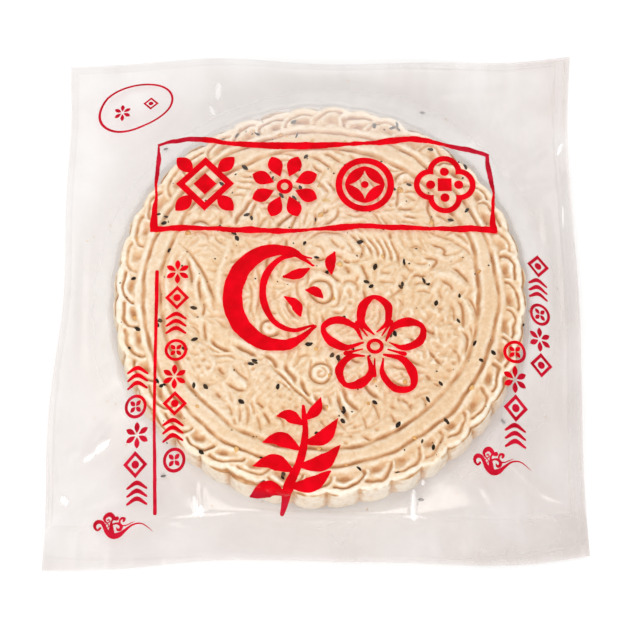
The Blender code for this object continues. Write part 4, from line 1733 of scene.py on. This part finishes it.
def remap(tree, value, from_min, from_max, to_min=0.0, to_max=1.0):
    """A value clamped to one range and stretched to another."""
    made = node(tree, "ShaderNodeMapRange")
    limits = {"From Min": from_min, "From Max": from_max, "To Min": to_min, "To Max": to_max}
    for key, number in limits.items():
        made.inputs[key].default_value = number
    tree.links.new(value, made.inputs["Value"])
    return made.outputs["Result"]


def patches_of(tree, scale, detail, low, high, to_min=0.0, to_max=1.0):
    """Noise with the part of its range from low to high stretched to another range."""
    return remap(tree, noise(tree, scale, detail), low, high, to_min, to_max)


def combined(tree, operation, a, b, use_clamp=False):
    """Two values made into one."""
    made = node(tree, "ShaderNodeMath", operation=operation, use_clamp=use_clamp)
    tree.links.new(a, made.inputs[0])
    tree.links.new(b, made.inputs[1])
    return made.outputs[0]


def mixed(tree, factor, a, b, blend="MIX"):
    """A blend of a and b, which are sockets, colours or numbers."""
    made = node(tree, "ShaderNodeMix", data_type="RGBA", blend_type=blend)
    for socket, source in ((made.inputs[0], factor), (made.inputs[6], a), (made.inputs[7], b)):
        if isinstance(source, bpy.types.NodeSocket):
            tree.links.new(source, socket)
        elif isinstance(source, tuple):
            socket.default_value = (*source, 1)
        else:
            socket.default_value = source
    return made.outputs[2]


def add_bump(tree, shader, sources, strength, distance):
    """A bump built up from several (height, strength) sources, the coarsest first."""
    normal = None
    for height, share in sources:
        made = node(tree, "ShaderNodeBump")
        made.inputs["Strength"].default_value = strength * share
        made.inputs["Distance"].default_value = distance
        tree.links.new(height, made.inputs["Height"])
        if normal is not None:
            tree.links.new(normal, made.inputs["Normal"])
        normal = made.outputs["Normal"]
    tree.links.new(normal, shader.inputs["Normal"])


def cake_material():
    """Pale floury dough, mottled, with toasted specks; by the cavity, painted shade makes the grooves tan and
    painted highlights make the ridges lighter.
    """
    material, tree, shader = new_material("cake_dough", (0.8, 0.6, 0.4), 0.62)
    shader.inputs["Specular IOR Level"].default_value = 0.35
    # Painted shade in the grooves and painted highlights on the ridges, by the cavity
    groove_shade_to_ridge_highlight = [
        (0.0, (0.54, 0.27, 0.12)),
        (0.35, (0.72, 0.46, 0.265)),
        (0.6, (0.80, 0.583, 0.383)),
        (1.0, (0.96, 0.865, 0.735)),
    ]
    colour = ramp(tree, remap(tree, attribute(tree, "cavity"), -1.0, 0.6), groove_shade_to_ridge_highlight)
    clouds = mixed(tree, patches_of(tree, 28, 4, 0.35, 0.68), (0.945, 0.905, 0.825), (0.975, 0.985, 0.995))
    colour = mixed(tree, 1.0, colour, clouds, "MULTIPLY")
    flour = mixed(tree, patches_of(tree, 520, 3, 0.35, 0.65), (0.95, 0.90, 0.83), (1.03, 1.04, 1.05))
    colour = mixed(tree, 1.0, colour, flour, "MULTIPLY")
    colour = mixed(tree, patches_of(tree, 95, 2, 0.7, 0.76), colour, (0.66, 0.40, 0.14))
    baked = mixed(tree, patches_of(tree, 60, 5, 0.35, 0.65), (0.60, 0.40, 0.21), (0.74, 0.53, 0.31))
    colour = mixed(tree, attribute(tree, "underside"), colour, baked)
    tree.links.new(colour, shader.inputs["Base Color"])
    tree.links.new(patches_of(tree, 160, 2, 0.3, 0.7, 0.52, 0.7), shader.inputs["Roughness"])
    add_bump(tree, shader, [(noise(tree, 480, 4), 0.8), (noise(tree, 1300, 3), 0.6)], 0.8, 0.0006)
    return material


def seed_material():
    """Black sesame, a few seeds of it browner, with a dull sheen."""
    material, tree, shader = new_material("black_sesame", (0.014, 0.008, 0.004), 0.6)
    shader.inputs["Specular IOR Level"].default_value = 0.12
    from_black_to_brown = [
        (0.0, (0.008, 0.004, 0.002)),
        (0.6, (0.018, 0.009, 0.004)),
        (0.93, (0.05, 0.027, 0.012)),
        (1.0, (0.12, 0.065, 0.03)),
    ]
    colour = ramp(tree, attribute(tree, "tone"), from_black_to_brown)
    worn = mixed(tree, 0.5, colour, (0.045, 0.026, 0.014))
    colour = mixed(tree, patches_of(tree, 1500, 2, 0.45, 0.7), colour, worn)
    tree.links.new(colour, shader.inputs["Base Color"])
    tree.links.new(patches_of(tree, 900, 2, 0.3, 0.7, 0.4, 0.62), shader.inputs["Roughness"])
    add_bump(tree, shader, [(noise(tree, 1600, 2), 1.0)], 0.4, 0.0002)
    return material


def bit_material(name, colour, roughness, tones, speck, speck_scale):
    """Bits whose tone differs from one to the next, each with finer specks."""
    material, tree, shader = new_material(name, colour, roughness)
    specks = patches_of(tree, speck_scale, 2, 0.35, 0.65)
    speckled = mixed(tree, specks, ramp(tree, attribute(tree, "tone"), tones), speck)
    tree.links.new(speckled, shader.inputs["Base Color"])
    add_bump(tree, shader, [(noise(tree, 1300, 3), 1.0)], 0.6, 0.0003)
    return material


def crumb_material():
    tones = [(0.0, (0.70, 0.48, 0.26)), (1.0, (0.84, 0.67, 0.47))]
    return bit_material("dough_crumb", (0.78, 0.58, 0.37), 0.7, tones, (0.62, 0.42, 0.22), 700)


def toasted_material():
    tones = [(0.0, (0.50, 0.19, 0.03)), (0.6, (0.64, 0.30, 0.07)), (1.0, (0.76, 0.45, 0.16))]
    return bit_material("toasted_nut", (0.74, 0.44, 0.15), 0.5, tones, (0.74, 0.44, 0.16), 900)


def film_material():
    """Thin clear film: a faint milky haze and some gloss, by the amount each part of the mesh carries, with
    painted glints, glare and light over shadows where its whiteness is high.
    """
    # The film's warm grey is partly its own tint and partly painted warm light bounced from the cake
    grey, painted_light_colour, painted_light_cover = (0.7, 0.606, 0.563), (1.0, 0.955, 0.935), (0.85, 0.85, 0.85)
    material, tree, shader = new_material("clear_film", grey, 0.2, Metallic=0.11)
    slant = node(tree, "ShaderNodeLayerWeight")
    slant.inputs["Blend"].default_value = 0.35
    steep = remap(tree, slant.outputs["Facing"], 0.42, 1.0, 0.0, 0.45)
    hazy = combined(tree, "MULTIPLY", attribute(tree, "haze"), patches_of(tree, 30, 4, 0.3, 0.7, 0.75, 1.25))
    cover = combined(tree, "ADD", hazy, steep, use_clamp=True)
    white = attribute(tree, "whiteness")
    tree.links.new(mixed(tree, white, cover, painted_light_cover), shader.inputs["Alpha"])
    tree.links.new(mixed(tree, remap(tree, white, 0.0, 0.35), grey, painted_light_colour), shader.inputs["Base Color"])
    tree.links.new(patches_of(tree, 35, 2, 0.3, 0.7, 0.12, 0.24), shader.inputs["Roughness"])
    add_bump(tree, shader, [(noise(tree, 45, 3), 0.7), (noise(tree, 160, 2), 0.3)], 0.3, 0.001)
    return material


def ink_material():
    """Red ink; its bright and deep reds are painted light: bright where the pale cake backs it and sends
    light back through it, deeper over the clear film round it.
    """
    material, tree, shader = new_material("red_ink", (0.74, 0.001, 0.012), 0.45)
    shader.inputs["Specular IOR Level"].default_value = 0.04
    patchy = patches_of(tree, 130, 3, 0.35, 0.65)
    backed = mixed(tree, patchy, (0.58, 0.0, 0.004), (0.78, 0.0, 0.008))
    unbacked = mixed(tree, patchy, (0.44, 0.003, 0.016), (0.60, 0.009, 0.034))
    tree.links.new(mixed(tree, attribute(tree, "backed"), unbacked, backed), shader.inputs["Base Color"])
    return material


# ---------------------------------------------------------------- the stage
FLOOR_HALF = 3.0  # metres, like the places and sizes of the lights
FLOOR_GAP = 0.0003
LIGHT_AIM = 11.0  # millimetres above the cake's underside
# Square lights that shine on the cake: (name, place from there, side, watts)
LIGHTS = (
    ("key", (0.3, -2.9, 3.0), 2.4, 99),
    ("side", (-1.25, 0.25, 1.75), 1.5, 13),
    ("back", (1.2, 2.6, 3.2), 3.0, 43),
)
WORLD_LIGHT = 0.48
CAMERA_TILT = 19.2  # degrees from straight down
CAMERA_DISTANCE, CAMERA_AIM = 912.0, 21.0  # millimetres


def floor_material():
    material, tree, shader = new_material("studio_floor", (0.9, 0.9, 0.9), 0.8)
    shader.inputs["Specular IOR Level"].default_value = 0.1
    shade = mixed(tree, noise(tree, 2.5, 2), (0.89, 0.89, 0.89), (0.91, 0.91, 0.91))
    tree.links.new(shade, shader.inputs["Base Color"])
    return material


def area_light(name, place, aim, side, watts):
    data = bpy.data.lights.new(name, "AREA")
    data.shape = "SQUARE"
    data.size = side
    data.energy = watts
    obj = bpy.data.objects.new(name, data)
    obj.location = place
    obj.rotation_euler = (Vector(aim) - Vector(place)).to_track_quat("-Z", "Y").to_euler()
    bpy.context.scene.collection.objects.link(obj)


def stage():
    """A pale floor, three lights and a white world."""
    z = BAG_LOW[2] - FLOOR_GAP
    corners = [(x * FLOOR_HALF, y * FLOOR_HALF, z) for x, y in ((-1, -1), (1, -1), (1, 1), (-1, 1))]
    mesh = bpy.data.meshes.new("floor")
    mesh.from_pydata(corners, [], [(0, 1, 2, 3)])
    mesh.materials.append(floor_material())
    floor = bpy.data.objects.new("floor", mesh)
    bpy.context.scene.collection.objects.link(floor)

    aim = put(0.0, 0.0, LIGHT_AIM)
    for name, place, side, watts in LIGHTS:
        area_light(name, aim + place, aim, side, watts)

    world = bpy.data.worlds.new("studio")
    world.use_nodes = True
    background = world.node_tree.nodes["Background"]
    background.inputs["Color"].default_value = (1.0, 1.0, 1.0, 1)
    background.inputs["Strength"].default_value = WORLD_LIGHT
    bpy.context.scene.world = world
    bpy.context.scene.view_settings.view_transform = "Standard"


def camera():
    """Above the near edge, looking down steeply, so that the cake's near wall just shows."""
    tilt = math.radians(CAMERA_TILT)
    data = bpy.data.cameras.new("camera")
    data.sensor_width = 36.0
    data.lens = 105.5
    data.shift_y = -0.0406
    obj = bpy.data.objects.new("camera", data)
    away = np.array([0.0, -math.sin(tilt), math.cos(tilt)])
    obj.location = put(0.0, 0.0, CAMERA_AIM) + away * CAMERA_DISTANCE * MM
    obj.rotation_euler = (tilt, 0.0, 0.0)
    bpy.context.scene.collection.objects.link(obj)
    bpy.context.scene.camera = obj


# ---------------------------------------------------------------- build
def build():
    """Every piece of the cake and the bag, then the stage and the camera."""
    relief = moulded_relief()
    dough = cake_material()
    picture_mesh(relief, dough)
    rim_mesh(relief, dough)
    whole_seeds = seed_places(relief) + wall_seed_places() + loose_places(5, 103, 122, (2.6, 3.2))
    black_sesame = seed_material()
    scatter("sesame_seeds", whole_seeds, black_sesame)
    scatter("seed_bits", fragment_places(relief), black_sesame)
    scatter("crumbs", loose_places(46, 101.5, 125, (0.5, 1.6)), crumb_material())
    scatter("toasted_bits", toasted_places(relief), toasted_material())
    film = film_material()
    film_mesh("back_film", back_film, lambda x, y: BACK_HAZE + 0 * x, lambda x, y: 0 * x, film, 480)
    front = film_mesh("front_film", front_film, film_haze, film_painted_light, film, 800)
    ink = ink_material()
    print_piece("print_frame", frame_print(), ink)
    print_piece("print_ornaments", ornament_print(), ink)
    print_piece("print_crescent", crescent_print(), ink)
    print_piece("print_blossom", blossom_print(), ink)
    print_piece("print_sprig", sprig_print(), ink)
    print_piece("print_columns", column_print(), ink)
    print_piece("print_clouds", cloud_print((82.5, -82), 0.94) + cloud_print((-98, -111), 0.96), ink)
    print_piece("print_oval", oval_print(), ink)
    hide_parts("sealed_bag")
    stage()
    camera()


build()
